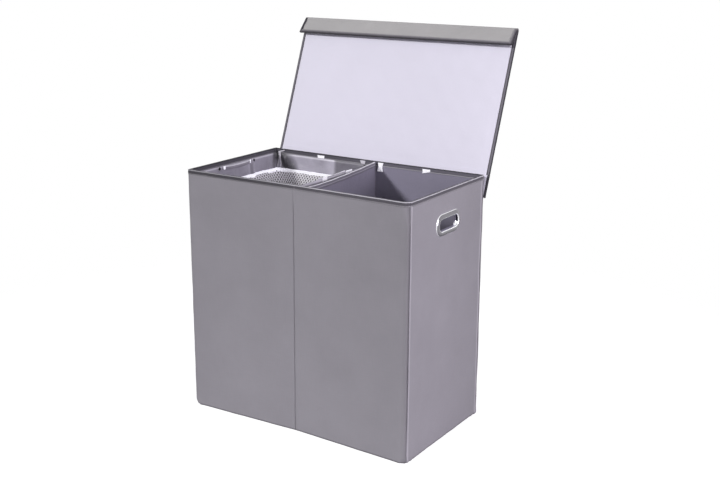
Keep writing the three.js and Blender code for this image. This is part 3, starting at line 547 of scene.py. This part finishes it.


# ---- White tabs ----
# A small folded white tape tab under the back rim in the middle of each bin, and a larger crumpled one at both back
# corners of the left bin, which lie in shade and are painted grey for it, and beside the divider in the right one,
# sewn on by their upper ends.

# White cotton twill tape, bleached and woven 0.9 mm apart: matt and soft. A faint painted glow stands in for the
# light that falls through the open top, more at the far left
white = cloth("white_twill_tape", "fbfaff", pitch=0.9, mottle=0.03, crumple=0.5, relief=0.12)
tree = white.node_tree
across = add(tree, "SeparateXYZ", [add(tree, "TexCoord", out="Object")], "X")
painted_glow = add(tree, "MapRange", [across, -0.285, -0.235, 0.5, 0.16])
feed(tree, tree.nodes["Principled BSDF"], {"Emission Color": srgb("f4f3ff"), "Emission Strength": painted_glow})
# The same tape painted grey, as painted shade for the crumpled tabs in the left bin's shaded corners, more mottled
# and crumpled
shaded_white_tape = cloth("grey_twill_tape", "c9c6cf", pitch=0.9, mottle=0.12, crumple=1.2, relief=0.12)
for name, x, width, height, thick, seed in (
        ("left_bin_tab", -160, 22, 11, 0.8, 61), ("right_bin_tab", 160, 22, 11, 0.8, 67),
        ("left_bin_wall_corner_tab", -281.5, 16, 22, 1.2, 71), ("left_bin_divider_corner_tab", -26.9, 16, 22, 1.2, 73),
        ("right_bin_divider_corner_tab", 26.9, 16, 22, 1.2, 79)):
    U, V, faces = lattice(np.linspace(-1, 1, 25), np.linspace(0, 1, 25))
    crumpled = height > 15
    lift = (2.2 if crumpled else 0.5) * V ** 1.3 * (0.5 + 0.5 * ripple(8 * U, 22 * V, (16, 9), seed))
    narrow = 1 - (0.25 if crumpled else 0.05) * np.sin(V * np.pi)
    shift, drop, stand = 0, height, 6.0 + lift
    if name == "left_bin_wall_corner_tab":
        shift, drop = -18 * smooth(6 * V) - 2 * V, 44
        narrow = 0.22 + 0.75 * V + 0.2 * np.sin(V * 9)
        stand = 6.0 + 7.0 * smooth((V - 0.12) / 0.2) + 3.4 * smooth(3 * V) * np.sin(U * 6 + 5 * V) + 0.5 * lift
    if name == "right_bin_tab":
        drop = drop * (1 - 0.25 * (U + 1))
    skew = 1.2 * ripple(U, 10 * V, (20,), seed + 1) if crumpled else 0
    along = BACK - (x + shift + U * width / 2 * narrow + skew)
    points = wall(along, (607.0 if crumpled else 605.5) - V * drop, stand)
    # The left bin's corner tabs take the grey copy of the tape: painted shade
    make(f"{name}_tape", [(points, faces, U * width / 2, V * height)],
         shaded_white_tape if name.startswith("left") and crumpled else white, thick, replaces=[name])


# ---- Base boards ----
# The two loose boards on the floor: greyboard wrapped in the grey cloth. The CAD nodes stay and take the cloth.

def paint(names, material):
    """Gives the named CAD nodes a material."""
    for name in names:
        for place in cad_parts[name].material_slots:
            place.material = material


# The grey polyester again, glued round a board and so without creases: two sets of threads 0.6 mm apart over X and Y
wrapped, tree, shade = blank("cloth_wrapped_board")
place = add(tree, "TexCoord", out="Object")
waves = [add(tree, "TexWave", {"Vector": place, "Scale": 523.0, "Distortion": 0.5}, "Fac", bands_direction=direction)
         for direction in "XY"]
weave = add(tree, "Math", waves, operation="MULTIPLY")
broad = add(tree, "TexNoise", {"Vector": place, "Scale": 30.0, "Detail": 4.0})
value = add(tree, "MapRange", [broad, 0, 1, 0.85, 1.15])
tone = add(tree, "HueSaturation", {"Value": value, "Color": srgb("7f7b83")})
bump = add(tree, "Bump", {"Height": weave, "Distance": 0.0001})
feed(tree, shade, {"Base Color": tone, "Normal": bump, "Roughness": 0.9})
paint(("left_base_board", "right_base_board"), wrapped)


# ---- Bag body ----
# A limp sewn sack of dark open mesh with a closed bottom, hanging from the cuff: just below it the mesh falls
# inward like a hammock, hangs in soft upright folds and spreads out again on the base board.

def bag(q, z, depth, radius=12.0):
    """Point of the bag's wall at q round the left bin, depth mm inside its outer face, drawn in at the front and the
    back as the body's wall is."""
    x, y = rounded(q, depth - 301.9, -6.5 - depth, depth - 165.9, 165.9 - depth, [radius] * 4)
    middle = np.clip(1 - np.abs(x) / 298, 0, 1)
    y = y + middle * np.where(y < 0, np.interp(z, *DRAWN_IN), -3) * np.clip(np.abs(y) / 150, 0, 1)
    return np.stack([x, y, z + 0 * x], -1)


# Knitted polyester mesh: round holes, half see-through and painted dark as the shade of the bin behind, between
# lighter knots, so the bin shows through it. The holes are 6.5 mm apart, coarser than the real ones, so that they
# still show from where the bag is seen
mesh_cloth, tree, shade = blank("knitted_open_mesh")
flat = add(tree, "UVMap", uv_map="UVMap")
turned = add(tree, "Mapping", {"Vector": flat, "Rotation": (0, 0, np.pi / 4)})
waves = [add(tree, "TexWave", {"Vector": turned, "Scale": 314.16 / 6.5}, "Fac", bands_direction=direction)
         for direction in "XY"]
hole = add(tree, "Math", waves, operation="MULTIPLY")
solid = add(tree, "MapRange", [hole, 0.30, 0.42, 1.0, 0.45])
painted_shade = add(tree, "MapRange", [hole, 0.22, 0.40, 1.0, 0.3])
# Painted light and shade across it: a little lighter at the far left, darker further right where the light falls
across = add(tree, "SeparateXYZ", [add(tree, "TexCoord", out="Object")], "X")
drift = add(tree, "MapRange", [across, -0.245, -0.205, 1.1, 0.85])
painted_shade = add(tree, "Math", [painted_shade, drift], operation="MULTIPLY")
broad = add(tree, "TexNoise", {"Vector": flat, "Scale": 60.0, "Detail": 3.0})
value = add(tree, "MapRange", [broad, 0, 1, 0.85, 1.15])
value = add(tree, "Math", [value, painted_shade], operation="MULTIPLY")
tone = add(tree, "HueSaturation", {"Value": value, "Color": srgb("e0dde3")})
bump = add(tree, "Bump", {"Height": hole, "Distance": 0.0004, "Strength": 0.7})
feed(tree, shade, {"Base Color": tone, "Alpha": solid, "Normal": bump, "Roughness": 0.8})

rows = np.concatenate([np.arange(5.6, 30, 4), np.arange(33, 495, 11), np.arange(497, 553, 4), [554.6]])
U, V, faces = lattice(np.linspace(0, 4, 221), rows)
fall = np.interp(V, [5, 12, 40, 100, 200, 300, 400, 450, 480, 500, 515, 530, 542, 554.6],
                 [8, 13, 20, 30, 42, 50, 54, 55, 52, 45, 36, 24, 13, 3.2])
folds = np.sin(U * np.pi / 2 * 11 + 1.6 * np.sin(U * 3 + V / 170)) * 0.16 * fall * smooth((520 - V) / 120)
depth = np.maximum(fall + folds + 0.08 * fall * ripple(330 * U, V, (260, 120), 91), 0.4)
parts = [(bag(U, V, depth, 12 + 0.5 * fall), faces, 295 * U, V)]
U, V, faces = lattice(np.linspace(0, 4, 221), np.array([0.02, 0.15, 0.3, 0.45, 0.6, 0.75, 0.88, 1.0]))
points = np.array([-154.2, 0, 5.6]) * (1 - V[:, None]) + bag(U, 5.6, 8.0, 16.0) * V[:, None]
points[:, 2] = 5.6 + 0.8 * (1 - V ** 6) * (1 + ripple(points[:, 0], points[:, 1], (110, 50), 97))
parts.append((points, faces[:, ::-1], *points[:, :2].T))
bag_body = make("bag_body_mesh", parts, mesh_cloth, 0.5, "bag", ["bag_body"])


# ---- Bag cuff ----
# The bag's upper band: 44 mm of satin-faced grey cloth, hemmed at the top, hanging just inside the bin's walls.

# Satin-faced polyester, calendered: smoother and glossier than the rest. Its brightness along the band is painted:
# painted highlights and painted shade on its creases, and a deep painted shadow near the bin's back left corner
satin = cloth("satin_faced_cuff", "a09ca9", pitch=0.5, mottle=0.17, crumple=1.8, roughness=0.36, sheen=0.2,
              relief=0.03, turn=2.0,
              bands=((0, "a09ca9"), (38, "a09ca9"), (40, "cfccd6"), (43, "cfccd6"), (44, "8b8794")),
              panel=((580, 0.9), (602, 0.44), (700, 0.44), (704, 0.6), (711, 1.2), (724, 1.15), (746, 0.98),
                     (800, 1.12), (842, 1.0), (856, 0.6), (872, 0.22), (900, 0.16), (908, 0.25), (917, 0.95),
                     (992, 1.0), (997, 0.62), (1002, 0.7), (1006, 1.25), (1012, 1.0), (1200, 1.0)))


def cuff_depth(q, z):
    """How far the cuff stands off the bag's outer face: soft upright folds, deepest at the lower edge, that are
    gathered near the bin's back left corner, where the bag is tied up."""
    folds = 1.7 * ripple(300 * q, 0.3 * z, (75, 34), 101) + 0.4 * ripple(300 * q, z, (30,), 103)
    tied = np.exp(-((q - 2.93) / 0.10) ** 2) + np.exp(-((q - 3.06) / 0.07) ** 2)
    gather = tied * (2.2 + 1.6 * np.sin(q * 150) * smooth((599 - z) / 30))
    fold = 3.6 * np.exp(-((q - 3.31) / 0.020) ** 2) * smooth((600 - z) / 10)
    return 0.5 + (np.maximum(folds, 0) + gather + fold) * smooth((600 - z) / 14) + 2.6 * smooth((584 - z) / 28)


rows = np.concatenate([[555], np.arange(557, 593, 3), [594, 595, 596, 597.2, 598.2, 598.8, 599]])
U, V, faces = lattice(np.linspace(0, 4, 401), rows)
depth = cuff_depth(U, V) + 0.5 * smooth((V - 597.2) / 1.8)
slant = 0.9 * (599 - V) * smooth((U - 2.65) / 0.15) * (1 - smooth((U - 2.98) / 0.06))
cuff = make("bag_cuff_cloth", [(bag(U, V, depth), faces, 300 * U + slant, V - 555)], satin, 0.8,
            "bag", ["bag_cuff"])


# ---- Bag tape ----
# A 10 mm white twill tape sewn over the seam between cuff and mesh.

U, V, faces = lattice(np.linspace(0, 4, 321), np.linspace(549.9, 559.8, 8))
z = V + 0.4 * ripple(300 * U, 0 * U, (80, 30), 109)
tape = make("bag_tape_band", [(bag(U, z, cuff_depth(U, np.maximum(V, 555)) + 1.0), faces, 300 * U, V)], white,
            0.8, "bag", ["bag_tape"])


# ---- Bag grips ----
# Two short webbing grips on the cuff, one at the wall and one at the divider, bowed off it between their ends. The
# ends are tacked down with white thread, and a dark press stud and a folded white tape sit beside the divider's.

# Polyester webbing, woven thick on a narrow loom: ribs 1.4 mm apart, and a painted highlight along the upper edge
webbing = cloth("ribbed_webbing", "8b8792", pitch=1.4, threads=0.06, mottle=0.05, relief=0.3, bands=(
    (0, "8b8792"), (6.4, "9a96a1"), (7.4, "efedf5"), (9.8, "efedf5")))
HALF_GRIP, BOW = 56, 8  # mm from a grip's middle to its end, and how far its middle stands off
for name, face, way, rise in (("wall_grip", -300.8, 1, 0), ("divider_grip", -7.6, -1, 4.5)):
    U, V, faces = lattice(np.linspace(-1, 1, 49), np.linspace(588.5, 598.3, 9))
    off = BOW * (1 - U ** 2) + 1.35 + 0.25 * np.cos((V - 593.4) / 4.9 * np.pi / 2) - 0.1
    points = np.stack([face + way * off, HALF_GRIP * U, V + rise * U ** 2 - 0.8 * (1 - U ** 2)], -1)
    make(f"{name}_webbing", [(points, faces[:, ::way], HALF_GRIP * U, V - 588.5)], webbing, 1.3, name,
         [name])
    tacks = []
    for end in (-1, 1):
        U, V, faces = lattice(np.linspace(0, 1, 6), np.linspace(0, 1, 22))
        t = (54.2 - 5.5 * U) / HALF_GRIP
        off = BOW * (1 - t ** 2) + 1.6 + 0.28 * np.abs(np.sin(V * np.pi * 8)) * np.sin(U * np.pi)
        level = 589.2 + 8.4 * V + rise * t ** 2 - 0.8 * (1 - t ** 2)
        points = np.stack([face + way * off, end * HALF_GRIP * t, level], -1)
        tacks.append((points, faces[:, ::-way * end], 6 * U, 9 * V))
    make(f"{name}_bar_tacks", tacks, white, body=name)
path = np.array([
    (-8.1, 590), (-8.1, 599.1), (-7.9, 600.5), (-7.2, 601.2), (-6.5, 600.5), (-6.3, 599.1), (-6.3, 592)])
parts = []
for start, end in ((-41, -22), (57.5, 85)):
    U, step, x, level, faces, _ = swept(np.linspace(start, end, 12), path)
    points = np.stack([x, U, level + 0.5 * ripple(U, 0 * U, (23, 9), 61)], -1)
    parts.append((points, faces[:, ::-1], U, 3 * step))
make("divider_grip_backing_tape", parts, white, 0.25, "bag")


# ---- Press studs ----
# Dark glossy snap studs: the four beside the grips and the two at the bag's back corners. The CAD nodes stay.

# Black moulded plastic, glossy from the mould, with a faint orange-peel face that makes its shine uneven
stud_plastic, tree, shade = blank("black_moulded_plastic")
peel = add(tree, "TexNoise", {"Vector": add(tree, "TexCoord", out="Object"), "Scale": 700.0, "Detail": 2.0})
rough = add(tree, "MapRange", [peel, 0, 1, 0.16, 0.32])
bump = add(tree, "Bump", {"Height": peel, "Distance": 0.00004})
feed(tree, shade, {"Base Color": srgb("1d1c20"), "Normal": bump, "Roughness": rough})
paint(("wall_grip_front_stud", "wall_grip_back_stud", "divider_grip_front_stud", "divider_grip_back_stud",
       "bag_wall_corner_stud", "bag_divider_corner_stud"), stud_plastic)


# ---- Back flap ----
# The 58 mm strip that joins the lid to the back wall: white lining inside, grey cover outside, a board between. It
# leans back with the open lid.

LEAN = np.radians(20.9)


def on_flap_back(x, out, up):
    """Point of the back flap in mm: out is the distance from its inner face to the back, up from its lower fold."""
    y = 176 + out * np.cos(LEAN) + up * np.sin(LEAN)
    z = 552 - out * np.sin(LEAN) + up * np.cos(LEAN)
    return np.stack(np.broadcast_arrays(x, y, z), -1)


def facing(body, kind, place, grid, rumple, material):
    """The lining or cover of a panel of the lid, 0.8 mm thick: rumple is how far in mm it stands off the board's
    face."""
    U, V, faces = grid
    way, out = (1, -rumple) if kind == "lining" else (-1, 5.2 + rumple)
    piece = make(f"{body}_{kind}_cloth", [(place(U, out, V), faces[:, ::way], U, V)], material, 0.8, body,
                 [f"{body}_{kind}"])


edge_profile = np.array([
    (303.6, 0.6), (304.2, 0.0), (305.5, -0.4), (308, -0.5), (310.2, -0.35), (311.8, 0.3), (312.4, 2.6), (311.8, 5.0),
    (310.2, 5.9), (308, 6.2), (305.5, 6.0), (304.2, 5.5), (303.6, 4.7)])


def edge_bindings(body, place, last, tape, profile):
    """A folded binding down both side edges of a panel: the profile swept up to last mm, slightly twisted."""
    spots = np.concatenate([[1.2, 2.4, 4, 6], np.linspace(9, last, int(last / 3))])
    U, step, _, _, faces, girth = swept(spots, edge_profile)
    twist = np.sin(U / 4.2 + 1.5 * np.sin(U / 37)) * np.sin(step / 12 * np.pi)
    lift = np.where(step < 6, -0.1, 0.25) * np.abs(twist)
    for side, way in (("left", -1), ("right", 1)):
        points = place(way * (profile[step, 0] + 0.08 * twist), profile[step, 1] + lift, U)
        make(f"{body}_{side}_binding_tape", [(points, faces[:, ::-way], U, girth)], tape, body=body,
             replaces=[f"{body}_{side}_binding"])


# White spunbond, fibres laid and bonded by heat without weaving: smooth and dead matt, with painted light that makes
# it a little brighter at the left
lid_white = cloth("white_spunbond_lining", "dad7e5", fade=("X", (-280, 1.03), (280, 0.97)), pitch=1.0, threads=0.01,
                  mottle=0.01, crumple=0.4, sheen=0.05, relief=0.03)
U, V, _ = grid = lattice(np.linspace(-309.5, 309.5, 80), np.linspace(0.4, 58, 12))
facing("back_flap", "lining", on_flap_back, grid, 0.08 * (1 + ripple(U, V, (120, 45), 113)), lid_white)
U, V, _ = grid = lattice(np.linspace(-304.5, 304.5, 80), np.linspace(0.4, 58, 12))
facing("back_flap", "cover", on_flap_back, grid, 0.25 * (1 + ripple(U, V, (110, 40), 127)), grey)
# The ribbed polyester tape again, dyed dark, folded tight and sewn, with painted shade darkest round the fold
ribbed = dict(pitch=1.1, mottle=0.06, crumple=0.7, relief=0.12)
edge_tape = cloth("folded_edge_binding", "5f5c63", **ribbed, bands=(
    (0, "2f2c33"), (1.8, "37343b"), (3.2, "67646b"), (6.0, "74717a"), (7.6, "524f56"), (9.2, "2b282f"),
    (12.0, "26232a"), (14.0, "4a474e"), (24.0, "5f5c63")))
# A darker copy of the same tape for the bindings that lie in shade: painted shade
shaded_edge_tape = cloth("folded_flap_end_binding", "4a474e", **ribbed, bands=(
    (0, "2f2c33"), (3.2, "45424a"), (6.0, "4a474f"), (9.2, "2b282f"), (12.0, "26232a"), (24.0, "45424a")))
narrow_profile = edge_profile.copy()
narrow_profile[:3, 0] = (308.6, 308.8, 309.2)
# The back flap's bindings take the darker copy: painted shade
edge_bindings("back_flap", on_flap_back, 57, shaded_edge_tape, narrow_profile)
paint(("back_flap_board", "lid_board", "front_flap_board"), board)


# ---- Lid ----
# The panel that closes both bins: a smooth white spunbond lining over a board, the grey cover behind it, and a
# folded dark binding down each side.

def on_lid(x, out, up):
    """Point of the lid in mm: out from its inner face to the back, up from its fold with the back flap."""
    return on_flap_back(x, out, up + 58.4)


U, V, _ = grid = lattice(np.linspace(-304.5, 304.5, 110), np.linspace(0.4, 353.3, 70))
edge = smooth((296 - np.abs(U)) / 16) * smooth((V - 12) / 14) * smooth((332 - V) / 14)
rumple = edge * (0.6 + 0.6 * ripple(U, V, (210, 95, 48), 131))
dart = 0.8 * np.exp(-((V - 295 - 0.35 * (U + 190)) / 5) ** 2) * np.exp(-((U + 190) / 45) ** 2)
facing("lid", "lining", on_lid, grid, rumple + dart, lid_white)
facing("lid", "cover", on_lid, grid, edge * 0.4 * (1 + ripple(U, V, (160, 70), 137)), grey)
edge_bindings("lid", on_lid, 353.3, edge_tape, edge_profile)


# ---- Front flap ----
# The lid's short front flap, folded down over its inner face: a grey cover outside, painted lighter as painted light,
# grey lining, and a dark binding round its two ends and its free edge, which is rolled and a little wrinkled.

def folded(out, up):
    """Where a point of the flap, out from its inner face and up from its fold, is in the lid's out and up."""
    return -0.9367 * out - 0.3502 * up, 353.7 + 0.3502 * out - 0.9367 * up


def on_flap(x, out, up):
    """Point of the front flap in mm: out from its inner face, up from its fold at the lid's far edge."""
    return on_lid(x, *folded(out, up))


# The grey polyester, painted paler as painted light where it faces the light and brighter at the left, and a little
# more creased from being bent over
lit_flap_cloth = cloth("woven_grey_polyester_flap", "aba9aa", mottle=0.05, crumple=0.7,
                   fade=("X", (-280, 1.03), (280, 0.955)))
# The binding rolled over the free edge, in bands from painted shade on its underside to painted light on its upper
# side
roll_tape = cloth("folded_flap_binding", "a3a1a3", **ribbed, bands=(
    (0, "3c3940"), (8.0, "37343b"), (11.5, "2b282f"), (13.2, "3a373e"), (14.6, "4c494f"), (17.5, "757279"),
    (21.0, "989699"), (24.0, "a9a7a8")))
U, V, _ = grid = lattice(np.linspace(-304.5, 304.5, 110), np.linspace(0.2, 38.2, 16))
rumple = 0.35 * (1 + ripple(U, V, (130, 50, 24), 139)) * smooth(V / 6)
facing("front_flap", "cover", on_flap, grid, rumple, lit_flap_cloth)
facing("front_flap", "lining", on_flap, grid, 0.2 * (1 + ripple(U, V, (100, 40), 149)), grey)

HALF_FLAP, FREE = 312, 46  # mm from the flap's middle to its ends, and from its fold to its free edge
spots = np.concatenate([np.linspace(0.4, 46, 14), 46 + np.linspace(3, 621, 130), 670 + np.linspace(0, 45.6, 14)])
U, step, across, out, faces, girth = swept(spots, edge_profile)
from_edge = HALF_FLAP - across
wrinkle = 0.45 * np.abs(np.sin(U / 5.5 + 2 * np.sin(U / 31))) * np.sin(step / 12 * np.pi)
x = np.interp(U, [0.4, 46, 49, 667, 670, 716], [-312, -312, -309, 309, 312, 312])
up = np.interp(U, [0.4, 46, 670, 715.6], [0.4, FREE, FREE, 0.4])
on_end = np.abs(x) > 310.5
x = np.where(on_end, np.sign(x) * (HALF_FLAP - from_edge), np.clip(x, from_edge - HALF_FLAP, HALF_FLAP - from_edge))
up = np.where(on_end, np.minimum(up, FREE - from_edge), FREE - from_edge)
out = out + np.where(step < 6, -1, 1) * wrinkle
binding = make("front_flap_binding_tape", [(on_flap(x, out, up), faces, U, girth)], roll_tape,
               body="front_flap", replaces=["front_flap_binding"])
# The binding's left end takes the darker copy of the tape: painted shade
binding.data.materials.append(shaded_edge_tape)
for face in binding.data.polygons:
    face.material_index = int((on_end & (x < 0))[list(face.vertices)].all())
paint(("left_magnet", "right_magnet"), steel)


# ---- Fold strips ----
# The cloth that runs on across the folds: over the top edge from the lid's cover to the front flap's, and the
# lining and cover across the fold between the back flap and the lid, and at the back flap's lower edge.

def strip(name, rows, place, material, ends, seed, half=304):
    """A cloth strip 0.8 mm thick across a fold: rows are (out, up) points across it, given to place with x. ends, two
    points in mm, is not used."""
    U, _, out, up, faces, girth = swept(np.linspace(-half, half, 120), np.array(rows, float))
    uneven = 0.12 * ripple(U, girth, (60, 22), seed)
    piece = make(name, [(place(U, out + uneven, up), faces, U, girth)], material, 0.8, None)
    piece.modifiers["cloth thickness"].offset = 0
    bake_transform(piece)


top_fold = [(5.5 * np.cos(turn), 353.3 + 4.6 * np.sin(turn)) for turn in np.radians(np.linspace(-8, 168, 23))]
top_fold = [(5.3, 346.5), (5.4, 350)] + top_fold + [folded(5.35, up) for up in (3, 6)]
strip("top_fold_cloth", top_fold, on_lid, lit_flap_cloth,
      (on_lid(0, 3.5, 355.0), on_lid(0, -4.5, 355.5)), 151, 311.5)
fold = on_flap_back(0, 0, 54.0), on_flap_back(0, 0, 62.8)
for name, out, material, slot, rests_on, seed in (
        ("lid_fold_lining", -0.15, lid_white, "white_cloth", "lid_lining", 157),
        ("lid_fold_cover", 5.7, grey, "grey_cloth", "lid_cover", 163)):
    strip(name, [(out, up) for up in np.linspace(51, 66, 13)], on_flap_back, material,
          fold, seed)
U, _, across, out, faces, girth = swept(np.linspace(56, 61, 9), edge_profile)
for side, way in (("left", -1), ("right", 1)):
    piece = make(f"lid_fold_{side}_binding", [(on_flap_back(way * across, out, U), faces[:, ::-way], U, girth)],
                 edge_tape, body=None)
    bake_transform(piece)


def hanging(x, out, up):
    """Point of the strip at the back flap's lower fold: below it, it lies flat on the back wall."""
    flap = on_flap_back(x, out, np.maximum(up, 0))
    flap[..., 1] += np.where(up < 0, out * (1 - np.cos(LEAN)), 0)
    flap[..., 2] += np.where(up < 0, up + out * np.sin(LEAN), 0)
    return flap


strip("back_fold_cloth", [(0.1, up) for up in np.linspace(-7, 7, 13)], hanging, grey,
      np.array([(0, 176, 548.5), (0, 177.5, 555.5)]), 167)


# ---- Fixing strip ----
# The lower edge of the back flap's cloth, sewn flat to the back cover.

U, V, faces = lattice(np.linspace(-292, 292, 90), np.linspace(536.8, 551.6, 9))
y = np.maximum(wall(BACK - U, V, 0.0)[:, 1] + 1.0, 174.9) + 0.1 * (1 + ripple(U, V, (60, 25), 173))
fixing = make("back_flap_fixing_strip_cloth", [(np.stack([U, y, V], -1), faces[:, ::-1], U, V)], grey,
              0.8, replaces=["back_flap_fixing_strip"])


# ---- Floor, light and camera ----
# A pale studio floor that keeps the hamper's shadow, a white surround, a soft key light from the upper left front,
# two large fills from the right, a weak light from behind, and the camera as it was fitted to the photo.

# Pale matt floor, round, that fades out into the white surround; to the camera it glows, to the hamper hardly
floor, tree, shade = blank("pale_studio_floor")
far = add(tree, "VectorMath", [add(tree, "TexCoord", out="Object")], "Value", operation="LENGTH")
fade = add(tree, "MapRange", [far, 0.75, 1.5, 1.0, 0.0], interpolation_type="SMOOTHSTEP")
lift = add(tree, "MapRange", [add(tree, "LightPath", out="Is Camera Ray"), 0, 1, 0.06, 0.75])
feed(tree, shade, {"Alpha": fade, "Emission Strength": lift, "Emission Color": (1, 1, 1, 1),
                   "Base Color": (0.55, 0.55, 0.56, 1), "Roughness": 0.9})
U, V, faces = lattice(np.linspace(0, 2 * np.pi, 97), np.concatenate([[0.001], np.linspace(60, 2600, 24)]))
points = np.stack([V * np.cos(U), 60 + V * np.sin(U), -0.3 + 0 * U], -1)
make("studio_floor", [(points, faces, *points[:, :2].T)], floor, body=None)

world = bpy.data.worlds.new("white_surround")
bpy.context.scene.world = world
world.use_nodes = True
tree = world.node_tree
rays = add(tree, "LightPath", out=None).outputs
seen = add(tree, "Math", [rays["Is Camera Ray"], rays["Is Glossy Ray"]], operation="MAXIMUM")
feed(tree, tree.nodes["Background"], {"Strength": add(tree, "MapRange", [seen, 0, 1, 0.24, 1.0]),
                                      "Color": (1, 1, 1, 1)})


def lamp(name, kind, power, way, place=(0, 0, 0), **settings):
    """A lamp of the kind and power at place, in metres, that shines along way, with its settings."""
    data = bpy.data.lights.new(name, kind)
    data.energy = power
    for key, value in settings.items():
        setattr(data, key, value)
    piece = bpy.data.objects.new(name, data)
    bpy.context.collection.objects.link(piece)
    piece.location, piece.rotation_euler = place, Vector(way).to_track_quat("-Z", "Y").to_euler()


soft_box = dict(color=(1.0, 0.955, 1.03), shape="RECTANGLE", size=1.3, size_y=1.3)
lamp("key_light", "SUN", 2.25, (1, 1.8, -0.81), angle=np.radians(7))
lamp("fill_light", "AREA", 38, (-2.3, 0.1, -0.45), (2.6, -0.1, 0.8), **soft_box)
lamp("upper_fill_light", "AREA", 14, (-1.8, 0.9, -1.0), (2.1, -0.9, 1.4), **soft_box)
lamp("back_fill_light", "SUN", 1.1, (0.6, -1.5, -0.08), angle=np.radians(40))

data = bpy.data.cameras.new("camera")
data.lens, data.sensor_width = 55.52, 36
camera = bpy.data.objects.new("camera", data)
bpy.context.collection.objects.link(camera)
azimuth, elevation, roll = np.radians([33.09, 15.31, 0.29])
back_way = np.array([np.sin(azimuth) * np.cos(elevation), -np.cos(azimuth) * np.cos(elevation), np.sin(elevation)])
right_way = np.array([np.cos(azimuth), np.sin(azimuth), 0])
up_way = np.cross(back_way, right_way)
matrix = np.eye(4)
matrix[:3, :3] = np.stack([right_way * np.cos(roll) + up_way * np.sin(roll),
                           up_way * np.cos(roll) - right_way * np.sin(roll), back_way], 1)
matrix[:3, 3] = (1.47134, -2.14577, 1.15308)
camera.matrix_world = Matrix(matrix.tolist())
bpy.context.scene.camera = camera
bpy.context.scene.view_settings.view_transform = "Standard"
